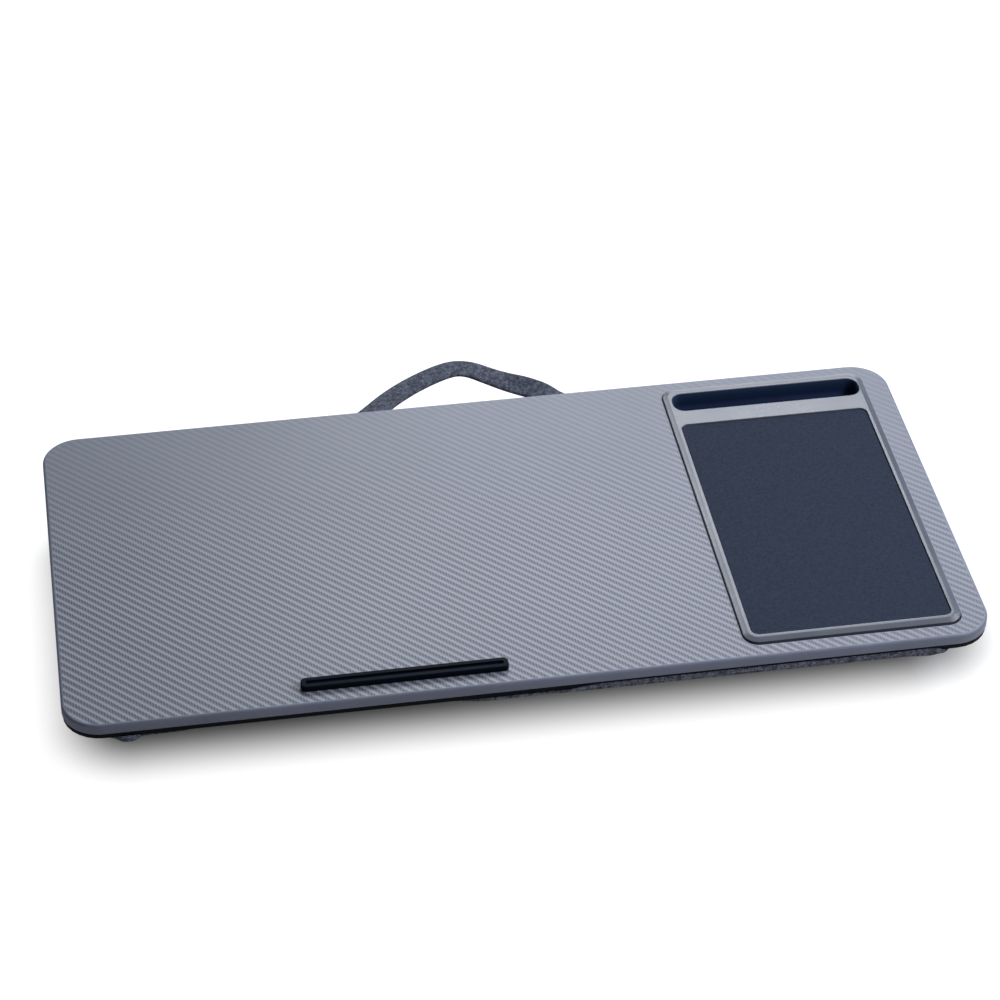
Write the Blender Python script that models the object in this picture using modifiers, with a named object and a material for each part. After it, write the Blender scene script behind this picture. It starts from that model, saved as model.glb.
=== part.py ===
"""Laptop tray: a grey lap desk with a mouse pad, phone slot, stop ledge, strap handle and two cushions.

Metres, +Z up. The origin lies on the surface that the cushions stand on, under the middle of the
whole part. Everything is placed in the board's own frame, whose middle is at board_frame.
"""
import math

import bmesh
import bpy
from mathutils import Matrix, Vector

# Fits that many pieces share
FIT_GAP = 0.0003
CUT_OVERRUN = 0.0020
WELD_DISTANCE = 0.00001
CORNER_STEPS = 7
TURNED_STEPS = 10
ROUND_PROFILE_SHARE = 0.5

# Board and the sheet under it
BOARD_WIDTH = 0.560
BOARD_DEPTH = 0.280
BOARD_CORNER_RADIUS = 0.0235
PANEL_THICKNESS = 0.0068
PANEL_TOP_ROUND = 0.0018
PANEL_BOTTOM_ROUND = 0.0005
BACKING_THICKNESS = 0.0030
BACKING_INSET = 0.0004
BACKING_EDGE_ROUND = 0.0003

# Tray insert, let into the board at the right
TRAY_WIDTH = 0.1354
TRAY_SIDE_MARGIN = 0.0168
TRAY_BACK_MARGIN = 0.0095
TRAY_FRONT_MARGIN = 0.0109
TRAY_CORNER_RADIUS = 0.0095
TRAY_SLIT = 0.0010
TRAY_RISE = 0.0020
SHOULDER_WIDTH = 0.0035
SHOULDER_DROP = 0.0010
SHOULDER_EDGE_WIDTH = 0.0004
SHOULDER_EDGE_DROP = 0.0003

# Mouse pad recess in the tray, and the ribs under its floor
RECESS_SIDE_RIM = 0.0050
RECESS_FRONT_RIM = 0.0065
RECESS_DEPTH = 0.0040
RECESS_CORNER_RADIUS = 0.0055
RECESS_FLOOR = 0.0020
RIB_THICKNESS = 0.0018
RIB_CELLS_ACROSS = 3
RIB_CELLS_ALONG = 5

# Mouse pad
PAD_SIDE_GAP = 0.0008
PAD_BASE_THICKNESS = 0.0020
PAD_CLOTH_THICKNESS = 0.0006

# Phone slot through the tray, and its liner cup
SLOT_WIDTH = 0.0191
SLOT_CORNER_RADIUS = 0.0078
SLOT_LEFT_RIM = 0.0052
SLOT_RIGHT_RIM = 0.0041
SLOT_BACK_RIM = 0.0067
BRIDGE_WIDTH = 0.0129
WELL_WALL = 0.0012
WELL_FLOOR = 0.0012
WELL_TOP_DROP = 0.0004
WELL_FLANGE_WIDTH = 0.0025
WELL_FLANGE_THICKNESS = 0.0012

# Stop ledge near the front edge
LEDGE_SHIFT = -0.0015
LEDGE_FRONT_MARGIN = 0.0110
LEDGE_LENGTH = 0.1240
LEDGE_DEPTH = 0.0089
LEDGE_HEIGHT = 0.0034
LEDGE_CORNER_RADIUS = 0.0032
LEDGE_TOP_ROUND = 0.0007
TROUGH_WIDTH = 0.0026
TROUGH_DEPTH = 0.0013
TROUGH_END_MARGIN = 0.0030
TROUGH_CORNER_RADIUS = 0.0012
PEG_RADIUS = 0.0023
PEG_COUNT = 3
PEG_SPACING = 0.0480
PUSH_NUT_RADIUS = 0.0050
PUSH_NUT_THICKNESS = 0.0006
PUSH_NUT_DOME = 0.0005
COUNTERBORE_DEPTH = 0.0022

# Strap handle at the back edge: a flat band with slanting legs and a round crown, and its clamped tails
HANDLE_SHIFT = -0.0032
HANDLE_HALF_SPAN = 0.0622
HANDLE_REACH = 0.0400
HANDLE_CROWN_SHARE = 0.40
HANDLE_BAND_WIDTH = 0.0155
HANDLE_THICKNESS = 0.0026
HANDLE_TILT = math.radians(4.0)
HANDLE_STATIONS = 28
HANDLE_OVERSHOOT_SHARE = 1.30
HANDLE_END_ROUND_SHARE = 0.46
TAIL_LENGTH = 0.0400
TAIL_SCREW_SHARES = (0.36, 0.78)

# Cushions: two bolsters side by side, each a cover with a hem all round and its filling
CUSHION_HEIGHT = 0.0420
CUSHION_SIDE_INSET = 0.0170
CUSHION_FRONT_INSET = 0.0270
CUSHION_VALLEY = 0.0180
CUSHION_DRAW_IN = 0.0040
CUSHION_TOP_PRESS = 0.0085
CUSHION_FOOT_PRESS = 0.0005
CUSHION_WIDEST_SHARE = 0.47
CUSHION_PLAN_POWER_SHARE = 5.0
CUSHION_PROFILE_POWER_SHARE = 3.0
CUSHION_SEGMENTS = 40
CUSHION_RINGS = 16
COVER_THICKNESS = 0.0012
FILLING_GAP = 0.0006
HEM_INSET = 0.0025

# Countersunk screws, all of one size, driven up from below the backing sheet
SCREW_HEAD_RADIUS = 0.0026
SCREW_HEAD_HEIGHT = 0.0015
SCREW_SHANK_RADIUS = 0.0013
SCREW_LENGTH = 0.0082
SCREW_TIP_LENGTH = 0.0014
EDGE_SCREW_MARGIN = 0.0078
FRONT_SCREW_MARGIN = 0.0115
SIDE_SCREW_SHARES = (0.14, 0.50, 0.86)
ROW_SCREW_SHARES = (0.19, 0.71, 0.94)
TRAY_SCREW_SHARES = (0.24, 0.76)

# Levels, from the ground up
BACKING_BOTTOM = CUSHION_HEIGHT + FIT_GAP
BACKING_TOP = BACKING_BOTTOM + BACKING_THICKNESS
PANEL_BOTTOM = BACKING_TOP + FIT_GAP
PANEL_TOP = PANEL_BOTTOM + PANEL_THICKNESS
TRAY_TOP = PANEL_TOP + TRAY_RISE
RECESS_FLOOR_TOP = TRAY_TOP - RECESS_DEPTH

# Places in the board's frame
TRAY_CENTRE_X = BOARD_WIDTH / 2 - TRAY_SIDE_MARGIN - TRAY_WIDTH / 2
TRAY_LEFT = TRAY_CENTRE_X - TRAY_WIDTH / 2
TRAY_FRONT = -BOARD_DEPTH / 2 + TRAY_FRONT_MARGIN
TRAY_BACK = BOARD_DEPTH / 2 - TRAY_BACK_MARGIN
TRAY_LENGTH = TRAY_BACK - TRAY_FRONT
TRAY_CENTRE_Y = (TRAY_FRONT + TRAY_BACK) / 2
SLOT_LENGTH = TRAY_WIDTH - SLOT_LEFT_RIM - SLOT_RIGHT_RIM
SLOT_CENTRE_X = TRAY_LEFT + SLOT_LEFT_RIM + SLOT_LENGTH / 2
SLOT_CENTRE_Y = TRAY_BACK - SLOT_BACK_RIM - SLOT_WIDTH / 2
SLOT_FRONT = SLOT_CENTRE_Y - SLOT_WIDTH / 2
RECESS_WIDTH = TRAY_WIDTH - 2 * RECESS_SIDE_RIM
RECESS_FRONT = TRAY_FRONT + RECESS_FRONT_RIM
RECESS_BACK = SLOT_FRONT - BRIDGE_WIDTH
RECESS_LENGTH = RECESS_BACK - RECESS_FRONT
RECESS_CENTRE_Y = (RECESS_FRONT + RECESS_BACK) / 2
LAPTOP_AREA_WIDTH = BOARD_WIDTH / 2 + TRAY_LEFT
LEDGE_CENTRE_X = (TRAY_LEFT - BOARD_WIDTH / 2) / 2 + LEDGE_SHIFT
LEDGE_CENTRE_Y = -BOARD_DEPTH / 2 + LEDGE_FRONT_MARGIN + LEDGE_DEPTH / 2
HINGE_Y = BOARD_DEPTH / 2 + FIT_GAP + HANDLE_THICKNESS / 2
HINGE_Z = PANEL_BOTTOM + HANDLE_THICKNESS / 2

# The whole part's reach behind the board sets where the board's middle lies
HANDLE_OUTER_REACH = HANDLE_REACH + HANDLE_BAND_WIDTH / 2
HANDLE_BACK = (HINGE_Y + HANDLE_OUTER_REACH * math.cos(HANDLE_TILT)
               + HANDLE_THICKNESS / 2 * math.sin(HANDLE_TILT))
BOARD_Y = (BOARD_DEPTH / 2 - HANDLE_BACK) / 2

GREY_PLASTIC = ((0.36, 0.37, 0.40), 0.42, 0.0)
BOARD_FILM = ((0.30, 0.31, 0.34), 0.45, 0.0)
BLACK_SHEET = ((0.012, 0.012, 0.014), 0.85, 0.0)
BLACK_PLASTIC = ((0.010, 0.011, 0.014), 0.40, 0.0)
PAD_CLOTH = ((0.035, 0.042, 0.055), 0.90, 0.0)
PAD_RUBBER = ((0.015, 0.015, 0.016), 0.80, 0.0)
HEATHER_CLOTH = ((0.060, 0.062, 0.070), 0.95, 0.0)
POLYESTER_FILL = ((0.80, 0.80, 0.78), 1.0, 0.0)
ZINC_STEEL = ((0.60, 0.60, 0.58), 0.35, 1.0)


def clear_scene():
    """Remove the scene's objects."""
    for item in list(bpy.data.objects):
        bpy.data.objects.remove(item, do_unlink=True)


def new_collection(name):
    """Return a new collection linked to the scene."""
    collection = bpy.data.collections.new(name)
    bpy.context.scene.collection.children.link(collection)
    return collection


def principled(name, look):
    """Return a Principled BSDF material from a (colour, roughness, metallic) look."""
    colour, roughness, metallic = look
    material = bpy.data.materials.new(name)
    material.use_nodes = True
    shader = material.node_tree.nodes["Principled BSDF"]
    shader.inputs["Base Color"].default_value = (*colour, 1.0)
    shader.inputs["Roughness"].default_value = roughness
    shader.inputs["Metallic"].default_value = metallic
    return material


def add_piece(name, mesh, frame, collection, look, smooth_angle=35.0):
    """Link a mesh as one named sub-part of the board's frame, with its own material."""
    if not mesh.materials:
        mesh.materials.append(principled(mesh.name, look))
    mesh.shade_smooth()
    mesh.set_sharp_from_angle(angle=math.radians(smooth_angle))
    piece = bpy.data.objects.new(name, mesh)
    collection.objects.link(piece)
    piece.parent = frame
    return piece


def add_copies(name, mesh, places, frame, collection, look):
    """Link a numbered copy of a small piece at each place; the copies share their mesh."""
    for number, place in enumerate(places, 1):
        add_piece(f"{name}_{number}", mesh, frame, collection, look).location = place


def add_cutter(name, mesh, frame, collection):
    """Link a mesh as a hidden cutter of the board's frame."""
    cutter = bpy.data.objects.new(name, mesh)
    collection.objects.link(cutter)
    cutter.parent = frame
    cutter.hide_render = True
    cutter.display_type = "WIRE"
    return cutter


def combine(piece, other, operation="DIFFERENCE"):
    """Cut a piece by another object, or join them."""
    modifier = piece.modifiers.new(f"{operation.lower()}_{other.name}", "BOOLEAN")
    modifier.operation = operation
    modifier.solver = "EXACT"
    modifier.object = other


def evaluated_mesh(item):
    """Return the mesh that an object has after its modifiers."""
    graph = bpy.context.evaluated_depsgraph_get()
    return bpy.data.meshes.new_from_object(item.evaluated_get(graph))


def rounded_rectangle(width, depth, radius, centre=(0, 0)):
    """Return the outline of a rectangle with round corners, anticlockwise."""
    points = []
    for quarter in range(4):
        corner = Vector((width / 2 - radius, depth / 2 - radius))
        corner.x *= 1 if quarter in (0, 3) else -1
        corner.y *= 1 if quarter in (0, 1) else -1
        for step in range(CORNER_STEPS + 1):
            angle = math.radians(90) * (quarter + step / CORNER_STEPS)
            spoke = Vector((math.cos(angle), math.sin(angle))) * radius
            points.append(Vector(centre) + corner + spoke)
    return points


def prism(outline, bottom, top):
    """Return a bmesh of a flat outline, drawn as a filled 2D curve, raised from bottom to top."""
    curve = bpy.data.curves.new("outline", "CURVE")
    curve.dimensions = "2D"
    curve.fill_mode = "BOTH"
    curve.extrude = (top - bottom) / 2
    spline = curve.splines.new("POLY")
    spline.points.add(len(outline) - 1)
    for slot, point in zip(spline.points, outline):
        slot.co = (point.x, point.y, 0, 1)
    spline.use_cyclic_u = True
    guide = bpy.data.objects.new("outline", curve)
    bpy.context.scene.collection.objects.link(guide)
    solid = bmesh.new()
    solid.from_mesh(evaluated_mesh(guide))
    bpy.data.objects.remove(guide, do_unlink=True)
    bmesh.ops.remove_doubles(solid, verts=solid.verts, dist=WELD_DISTANCE)
    bmesh.ops.dissolve_limit(solid, angle_limit=math.radians(1), verts=solid.verts, edges=solid.edges)
    bmesh.ops.recalc_face_normals(solid, faces=solid.faces)
    bmesh.ops.translate(solid, vec=(0, 0, (top + bottom) / 2), verts=solid.verts)
    return solid


def round_rim(solid, level, radius, segments=3):
    """Round the edges of the cap that lies at a level."""
    rim = [edge for edge in solid.edges
           if all(abs(vert.co.z - level) < WELD_DISTANCE for vert in edge.verts)
           and any(abs(face.normal.z) < math.sin(math.radians(45)) for face in edge.link_faces)]
    bmesh.ops.bevel(solid, geom=rim, offset=radius, segments=segments,
                    profile=ROUND_PROFILE_SHARE, affect="EDGES")


def to_mesh(solid, name):
    """Turn a bmesh into a mesh and free it."""
    mesh = bpy.data.meshes.new(name)
    solid.to_mesh(mesh)
    solid.free()
    return mesh


def slab(name, outline, bottom, top):
    """Return the mesh of a plain prism."""
    return to_mesh(prism(outline, bottom, top), name)


def turned_mesh(name, profile):
    """Return the mesh of a profile, given as (radius, height) from top to bottom, turned about Z."""
    mesh = bpy.data.meshes.new(name)
    points = [(radius, 0, height) for radius, height in profile]
    mesh.from_pydata(points, [(i, i + 1) for i in range(len(points) - 1)], [])
    guide = bpy.data.objects.new(name, mesh)
    bpy.context.scene.collection.objects.link(guide)
    screw = guide.modifiers.new("turn", "SCREW")
    screw.axis = "Z"
    screw.angle = math.radians(360)
    screw.steps = TURNED_STEPS
    screw.render_steps = TURNED_STEPS
    screw.use_merge_vertices = True
    screw.merge_threshold = WELD_DISTANCE
    turned = evaluated_mesh(guide)
    bpy.data.objects.remove(guide, do_unlink=True)
    return turned


def scattered_mesh(name, source, places):
    """Return one mesh with a copy of a source mesh at each place."""
    group = bmesh.new()
    for place in places:
        before = len(group.verts)
        group.from_mesh(source)
        group.verts.ensure_lookup_table()
        bmesh.ops.translate(group, vec=place, verts=group.verts[before:])
    return to_mesh(group, name)


def screw_mesh():
    """Return the mesh of a countersunk screw that points up, its head flush with zero."""
    return turned_mesh("screw", [
        (0, SCREW_LENGTH),
        (SCREW_SHANK_RADIUS, SCREW_LENGTH - SCREW_TIP_LENGTH),
        (SCREW_SHANK_RADIUS, SCREW_HEAD_HEIGHT),
        (SCREW_HEAD_RADIUS, 0),
        (0, 0),
    ])


def screw_hole_mesh():
    """Return the mesh of the hole that clears a screw, open below its head."""
    shank = SCREW_SHANK_RADIUS + FIT_GAP
    head = SCREW_HEAD_RADIUS + FIT_GAP
    return turned_mesh("screw_hole", [
        (0, SCREW_LENGTH + FIT_GAP),
        (shank, SCREW_LENGTH + FIT_GAP),
        (shank, SCREW_HEAD_HEIGHT + FIT_GAP),
        (head, FIT_GAP),
        (head, -CUT_OVERRUN),
        (0, -CUT_OVERRUN),
    ])


def box_mesh(name, size, centre, turn=0.0):
    """Return the mesh of a box, turned about Z."""
    box = bmesh.new()
    placing = Matrix.Translation(centre) @ Matrix.Rotation(turn, 4, "Z") @ Matrix.Diagonal((*size, 1))
    bmesh.ops.create_cube(box, size=1, matrix=placing)
    return to_mesh(box, name)


def handle_point(share):
    """Return the handle line's point at a share of its half span, and the direction square to it.

    The line is a hyperbola: two straight legs joined by a round crown, whose size is a share.
    """
    spread = 1 + 2 * HANDLE_CROWN_SHARE
    root = math.sqrt(HANDLE_CROWN_SHARE ** 2 + spread * share ** 2)
    point = Vector((share * HANDLE_HALF_SPAN, HANDLE_REACH * (1 + HANDLE_CROWN_SHARE - root)))
    fall = HANDLE_REACH * spread * share / (root * HANDLE_HALF_SPAN)
    return point, Vector((fall, 1)).normalized()


def tail_angle():
    """Return the angle at which a handle leg meets the back edge, from the line's slope there."""
    outward = handle_point(1)[1]
    return math.atan2(outward.x, outward.y)


def tail_line(side):
    """Return where a handle tail leaves the back edge and the direction in which it runs inwards."""
    behind = (HINGE_Y - BOARD_DEPTH / 2) / math.tan(tail_angle())
    start = Vector((HANDLE_SHIFT + side * (HANDLE_HALF_SPAN + behind), BOARD_DEPTH / 2))
    angle = tail_angle()
    return start, Vector((side * math.cos(angle), -math.sin(angle)))


def along(shares, start, length):
    """Return the places at shares of a length."""
    return [start + share * length for share in shares]


def backing_screw_places():
    """Return where screws hold the backing sheet to the board.

    Three go along each side, and three along the front and the back of the laptop area.
    """
    side_x = BOARD_WIDTH / 2 - EDGE_SCREW_MARGIN
    row_y = BOARD_DEPTH / 2 - FRONT_SCREW_MARGIN
    side_ys = along(SIDE_SCREW_SHARES, -BOARD_DEPTH / 2, BOARD_DEPTH)
    row_xs = along(ROW_SCREW_SHARES, -BOARD_WIDTH / 2, LAPTOP_AREA_WIDTH)
    sides = [(x, y) for x in (-side_x, side_x) for y in side_ys]
    rows = [(x, y) for y in (-row_y, row_y) for x in row_xs]
    return [(x, y, BACKING_BOTTOM) for x, y in sides + rows]


def handle_screw_places():
    """Return where screws pass through the handle's tails."""
    places = []
    for side in (-1, 1):
        start, direction = tail_line(side)
        for share in TAIL_SCREW_SHARES:
            point = start + direction * TAIL_LENGTH * share
            places.append((point.x, point.y, BACKING_BOTTOM))
    return places


def insert_screw_places():
    """Return where screws enter the tray: its side rims, its front rim and the bridge by the slot."""
    rim_x = (TRAY_WIDTH - RECESS_SIDE_RIM) / 2
    front_y = TRAY_FRONT + RECESS_FRONT_RIM / 2
    bridge_y = RECESS_BACK + BRIDGE_WIDTH / 2
    rim_ys = along(TRAY_SCREW_SHARES, RECESS_FRONT, RECESS_LENGTH)
    row_xs = along(TRAY_SCREW_SHARES, TRAY_LEFT, TRAY_WIDTH)
    rims = [(TRAY_CENTRE_X + x, y) for x in (-rim_x, rim_x) for y in rim_ys]
    rows = [(x, y) for x in row_xs for y in (front_y, bridge_y)]
    return [(x, y, BACKING_BOTTOM) for x, y in rims + rows]


def peg_places():
    """Return the X of each of the ledge's pegs."""
    first = LEDGE_CENTRE_X - PEG_SPACING * (PEG_COUNT - 1) / 2
    return [first + PEG_SPACING * i for i in range(PEG_COUNT)]


def slot_outline(grow=0.0):
    """Return the phone slot's outline, grown or shrunk."""
    return rounded_rectangle(SLOT_LENGTH + 2 * grow, SLOT_WIDTH + 2 * grow, SLOT_CORNER_RADIUS + grow,
                             (SLOT_CENTRE_X, SLOT_CENTRE_Y))


def recess_outline(grow=0.0):
    """Return the mouse pad recess's outline, grown or shrunk."""
    return rounded_rectangle(RECESS_WIDTH + 2 * grow, RECESS_LENGTH + 2 * grow,
                             RECESS_CORNER_RADIUS + grow, (TRAY_CENTRE_X, RECESS_CENTRE_Y))


def tray_outline(grow=0.0):
    """Return the tray's outline, grown or shrunk."""
    return rounded_rectangle(TRAY_WIDTH + 2 * grow, TRAY_LENGTH + 2 * grow,
                             TRAY_CORNER_RADIUS + grow, (TRAY_CENTRE_X, TRAY_CENTRE_Y))


def make_screws(frame, parts, cutters):
    """Make the three sets of screws, and return the cutter that clears each set."""
    screw = screw_mesh()
    hole = screw_hole_mesh()
    holes = {}
    for name, places in (("backing_screw", backing_screw_places()),
                         ("handle_screw", handle_screw_places()),
                         ("insert_screw", insert_screw_places())):
        add_copies(name, screw, places, frame, parts, ZINC_STEEL)
        mesh = scattered_mesh(f"{name}_holes", hole, places)
        holes[name] = add_cutter(f"{name}_holes", mesh, frame, cutters)
    return holes


def divide_laptop_area(solid):
    """Divide the board's faces behind the ledge and left of the tray, where the laptop stands."""
    behind_ledge = (0, LEDGE_CENTRE_Y + LEDGE_DEPTH / 2 + FIT_GAP, 0)
    beside_tray = (TRAY_LEFT - TRAY_SLIT - FIT_GAP, 0, 0)
    for place, facing in ((behind_ledge, (0, 1, 0)), (beside_tray, (1, 0, 0))):
        bmesh.ops.bisect_plane(solid, geom=solid.verts[:] + solid.edges[:] + solid.faces[:],
                               plane_co=place, plane_no=facing)


def make_top_panel(frame, parts, cutters, holes):
    """Make the board, with its tray cut-out, peg holes, screw holes and tail channels."""
    outline = rounded_rectangle(BOARD_WIDTH, BOARD_DEPTH, BOARD_CORNER_RADIUS)
    solid = prism(outline, PANEL_BOTTOM, PANEL_TOP)
    round_rim(solid, PANEL_TOP, PANEL_TOP_ROUND)
    round_rim(solid, PANEL_BOTTOM, PANEL_BOTTOM_ROUND, segments=1)
    divide_laptop_area(solid)
    panel = add_piece("top_panel", to_mesh(solid, "top_panel"), frame, parts, BOARD_FILM)

    opening = slab("tray_opening", tray_outline(TRAY_SLIT), PANEL_BOTTOM - CUT_OVERRUN, PANEL_TOP + CUT_OVERRUN)
    combine(panel, add_cutter("tray_opening", opening, frame, cutters))
    for side, name in ((-1, "left"), (1, "right")):
        start, direction = tail_line(side)
        reach = TAIL_LENGTH + FIT_GAP + HANDLE_BAND_WIDTH
        middle = start + direction * (TAIL_LENGTH + FIT_GAP - reach / 2)
        depth = HANDLE_THICKNESS + FIT_GAP
        size = (reach, HANDLE_BAND_WIDTH + 2 * FIT_GAP, depth + CUT_OVERRUN)
        centre = (middle.x, middle.y, PANEL_BOTTOM + (depth - CUT_OVERRUN) / 2)
        turn = math.atan2(direction.y, direction.x)
        channel = box_mesh(f"{name}_tail_channel", size, centre, turn)
        combine(panel, add_cutter(f"{name}_tail_channel", channel, frame, cutters))
    radius = PEG_RADIUS + FIT_GAP
    bore = turned_mesh("peg_hole", [
        (0, PANEL_THICKNESS + CUT_OVERRUN),
        (radius, PANEL_THICKNESS + CUT_OVERRUN),
        (radius, COUNTERBORE_DEPTH),
        (PUSH_NUT_RADIUS + FIT_GAP, COUNTERBORE_DEPTH),
        (PUSH_NUT_RADIUS + FIT_GAP, -CUT_OVERRUN),
        (0, -CUT_OVERRUN),
    ])
    places = [(x, LEDGE_CENTRE_Y, PANEL_BOTTOM) for x in peg_places()]
    combine(panel, add_cutter("peg_holes", scattered_mesh("peg_holes", bore, places), frame, cutters))
    combine(panel, holes["backing_screw"])
    combine(panel, holes["handle_screw"])
    return panel


def make_backing_sheet(frame, parts, cutters, holes):
    """Make the black sheet under the board, with a hole for the phone well and countersunk screw holes."""
    outline = rounded_rectangle(BOARD_WIDTH - 2 * BACKING_INSET, BOARD_DEPTH - 2 * BACKING_INSET,
                                BOARD_CORNER_RADIUS - BACKING_INSET)
    solid = prism(outline, BACKING_BOTTOM, BACKING_TOP)
    round_rim(solid, BACKING_BOTTOM, BACKING_EDGE_ROUND, segments=1)
    sheet = add_piece("backing_sheet", to_mesh(solid, "backing_sheet"), frame, parts, BLACK_SHEET)
    opening = slab("well_opening", slot_outline(), BACKING_BOTTOM - CUT_OVERRUN, BACKING_TOP + CUT_OVERRUN)
    combine(sheet, add_cutter("well_opening", opening, frame, cutters))
    for group in holes.values():
        combine(sheet, group)
    return sheet


def make_tray_insert(frame, parts, cutters, holes):
    """Make the moulded tray: sloped shoulder, pad recess over ribs, slot with a rebate for its liner."""
    solid = prism(tray_outline(), PANEL_BOTTOM, TRAY_TOP - SHOULDER_DROP)
    cap = [face for face in solid.faces if face.normal.z > math.cos(math.radians(10))]
    bmesh.ops.inset_region(solid, faces=cap, thickness=SHOULDER_EDGE_WIDTH, depth=SHOULDER_EDGE_DROP,
                           use_even_offset=True, use_boundary=True)
    bmesh.ops.inset_region(solid, faces=cap, thickness=SHOULDER_WIDTH - SHOULDER_EDGE_WIDTH,
                           depth=SHOULDER_DROP - SHOULDER_EDGE_DROP, use_even_offset=True, use_boundary=True)
    tray = add_piece("tray_insert", to_mesh(solid, "tray_insert"), frame, parts, GREY_PLASTIC, 12.0)

    recess = slab("pad_recess", recess_outline(), RECESS_FLOOR_TOP, TRAY_TOP + CUT_OVERRUN)
    combine(tray, add_cutter("pad_recess", recess, frame, cutters))
    slot = slab("phone_slot", slot_outline(), PANEL_BOTTOM - CUT_OVERRUN, TRAY_TOP + CUT_OVERRUN)
    combine(tray, add_cutter("phone_slot", slot, frame, cutters))
    rebate = slab("liner_rebate", slot_outline(WELL_FLANGE_WIDTH + FIT_GAP), PANEL_BOTTOM - CUT_OVERRUN,
                  PANEL_BOTTOM + WELL_FLANGE_THICKNESS + FIT_GAP)
    combine(tray, add_cutter("liner_rebate", rebate, frame, cutters))

    cell_width = (RECESS_WIDTH - RIB_THICKNESS * (RIB_CELLS_ACROSS + 1)) / RIB_CELLS_ACROSS
    cell_length = (RECESS_LENGTH - RIB_THICKNESS * (RIB_CELLS_ALONG + 1)) / RIB_CELLS_ALONG
    cell_top = RECESS_FLOOR_TOP - RECESS_FLOOR
    cell = slab("rib_cell", rounded_rectangle(cell_width, cell_length, RIB_THICKNESS),
                PANEL_BOTTOM - CUT_OVERRUN, cell_top)
    places = []
    for column in range(RIB_CELLS_ACROSS):
        for row in range(RIB_CELLS_ALONG):
            x = (column - (RIB_CELLS_ACROSS - 1) / 2) * (cell_width + RIB_THICKNESS)
            y = (row - (RIB_CELLS_ALONG - 1) / 2) * (cell_length + RIB_THICKNESS)
            places.append((TRAY_CENTRE_X + x, RECESS_CENTRE_Y + y, 0))
    combine(tray, add_cutter("rib_cells", scattered_mesh("rib_cells", cell, places), frame, cutters))
    combine(tray, holes["insert_screw"])
    return tray


def make_phone_well(frame, parts, cutters):
    """Make the slot's liner cup, whose flange is trapped between the tray and the backing sheet."""
    side = -FIT_GAP
    cup = slab("phone_well", slot_outline(side), BACKING_BOTTOM, TRAY_TOP - WELL_TOP_DROP)
    well = add_piece("phone_well", cup, frame, parts, BLACK_PLASTIC)
    flange = slab("well_flange", slot_outline(WELL_FLANGE_WIDTH), PANEL_BOTTOM, PANEL_BOTTOM + WELL_FLANGE_THICKNESS)
    combine(well, add_cutter("well_flange", flange, frame, cutters), "UNION")
    inside = slab("well_inside", slot_outline(side - WELL_WALL), BACKING_BOTTOM + WELL_FLOOR, TRAY_TOP + CUT_OVERRUN)
    combine(well, add_cutter("well_inside", inside, frame, cutters))
    return well


def make_mouse_pad(frame, parts):
    """Make the pad's rubber base and its cloth face."""
    base_bottom = RECESS_FLOOR_TOP + FIT_GAP
    base_top = base_bottom + PAD_BASE_THICKNESS
    cloth_bottom = base_top + FIT_GAP
    outline = recess_outline(-PAD_SIDE_GAP)
    add_piece("mouse_pad_base", slab("mouse_pad_base", outline, base_bottom, base_top), frame, parts, PAD_RUBBER)
    cloth = slab("mouse_pad_cloth", outline, cloth_bottom, cloth_bottom + PAD_CLOTH_THICKNESS)
    add_piece("mouse_pad_cloth", cloth, frame, parts, PAD_CLOTH)


def make_device_ledge(frame, parts, cutters):
    """Make the stop ledge: a round-ended bar with a trough along its top and pegs through the board."""
    bottom = PANEL_TOP + FIT_GAP
    top = bottom + LEDGE_HEIGHT
    centre = (LEDGE_CENTRE_X, LEDGE_CENTRE_Y)
    solid = prism(rounded_rectangle(LEDGE_LENGTH, LEDGE_DEPTH, LEDGE_CORNER_RADIUS, centre), bottom, top)
    round_rim(solid, top, LEDGE_TOP_ROUND, segments=2)
    ledge = add_piece("device_ledge", to_mesh(solid, "device_ledge"), frame, parts, BLACK_PLASTIC)
    trough = rounded_rectangle(LEDGE_LENGTH - 2 * TROUGH_END_MARGIN, TROUGH_WIDTH, TROUGH_CORNER_RADIUS, centre)
    cut = slab("ledge_trough", trough, top - TROUGH_DEPTH, top + CUT_OVERRUN)
    combine(ledge, add_cutter("ledge_trough", cut, frame, cutters))
    peg_top = bottom + (LEDGE_HEIGHT - TROUGH_DEPTH) / 2
    peg = turned_mesh("peg", [(0, peg_top), (PEG_RADIUS, peg_top), (PEG_RADIUS, PANEL_BOTTOM), (0, PANEL_BOTTOM)])
    places = [(x, LEDGE_CENTRE_Y, 0) for x in peg_places()]
    pegs = add_cutter("ledge_pegs", scattered_mesh("ledge_pegs", peg, places), frame, cutters)
    combine(ledge, pegs, "UNION")
    return ledge


def make_push_nuts(frame, parts):
    """Make the dished push-on nuts that grip the ledge's pegs inside the counterbores."""
    bore = PEG_RADIUS + FIT_GAP
    top = COUNTERBORE_DEPTH - FIT_GAP
    dish = top - PUSH_NUT_DOME
    profile = [
        (bore, dish),
        (PUSH_NUT_RADIUS, top),
        (PUSH_NUT_RADIUS, top - PUSH_NUT_THICKNESS),
        (bore, dish - PUSH_NUT_THICKNESS),
        (bore, dish),
    ]
    places = [(x, LEDGE_CENTRE_Y, PANEL_BOTTOM) for x in peg_places()]
    add_copies("ledge_push_nut", turned_mesh("push_nut", profile), places, frame, parts, ZINC_STEEL)


def band_edge(offset):
    """Return the points of the handle band's edge at an offset from its line, left to right."""
    points = []
    for station in range(HANDLE_STATIONS + 1):
        middle, outward = handle_point((2 * station / HANDLE_STATIONS - 1) * HANDLE_OVERSHOOT_SHARE)
        points.append(middle + outward * offset)
    return points


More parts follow.
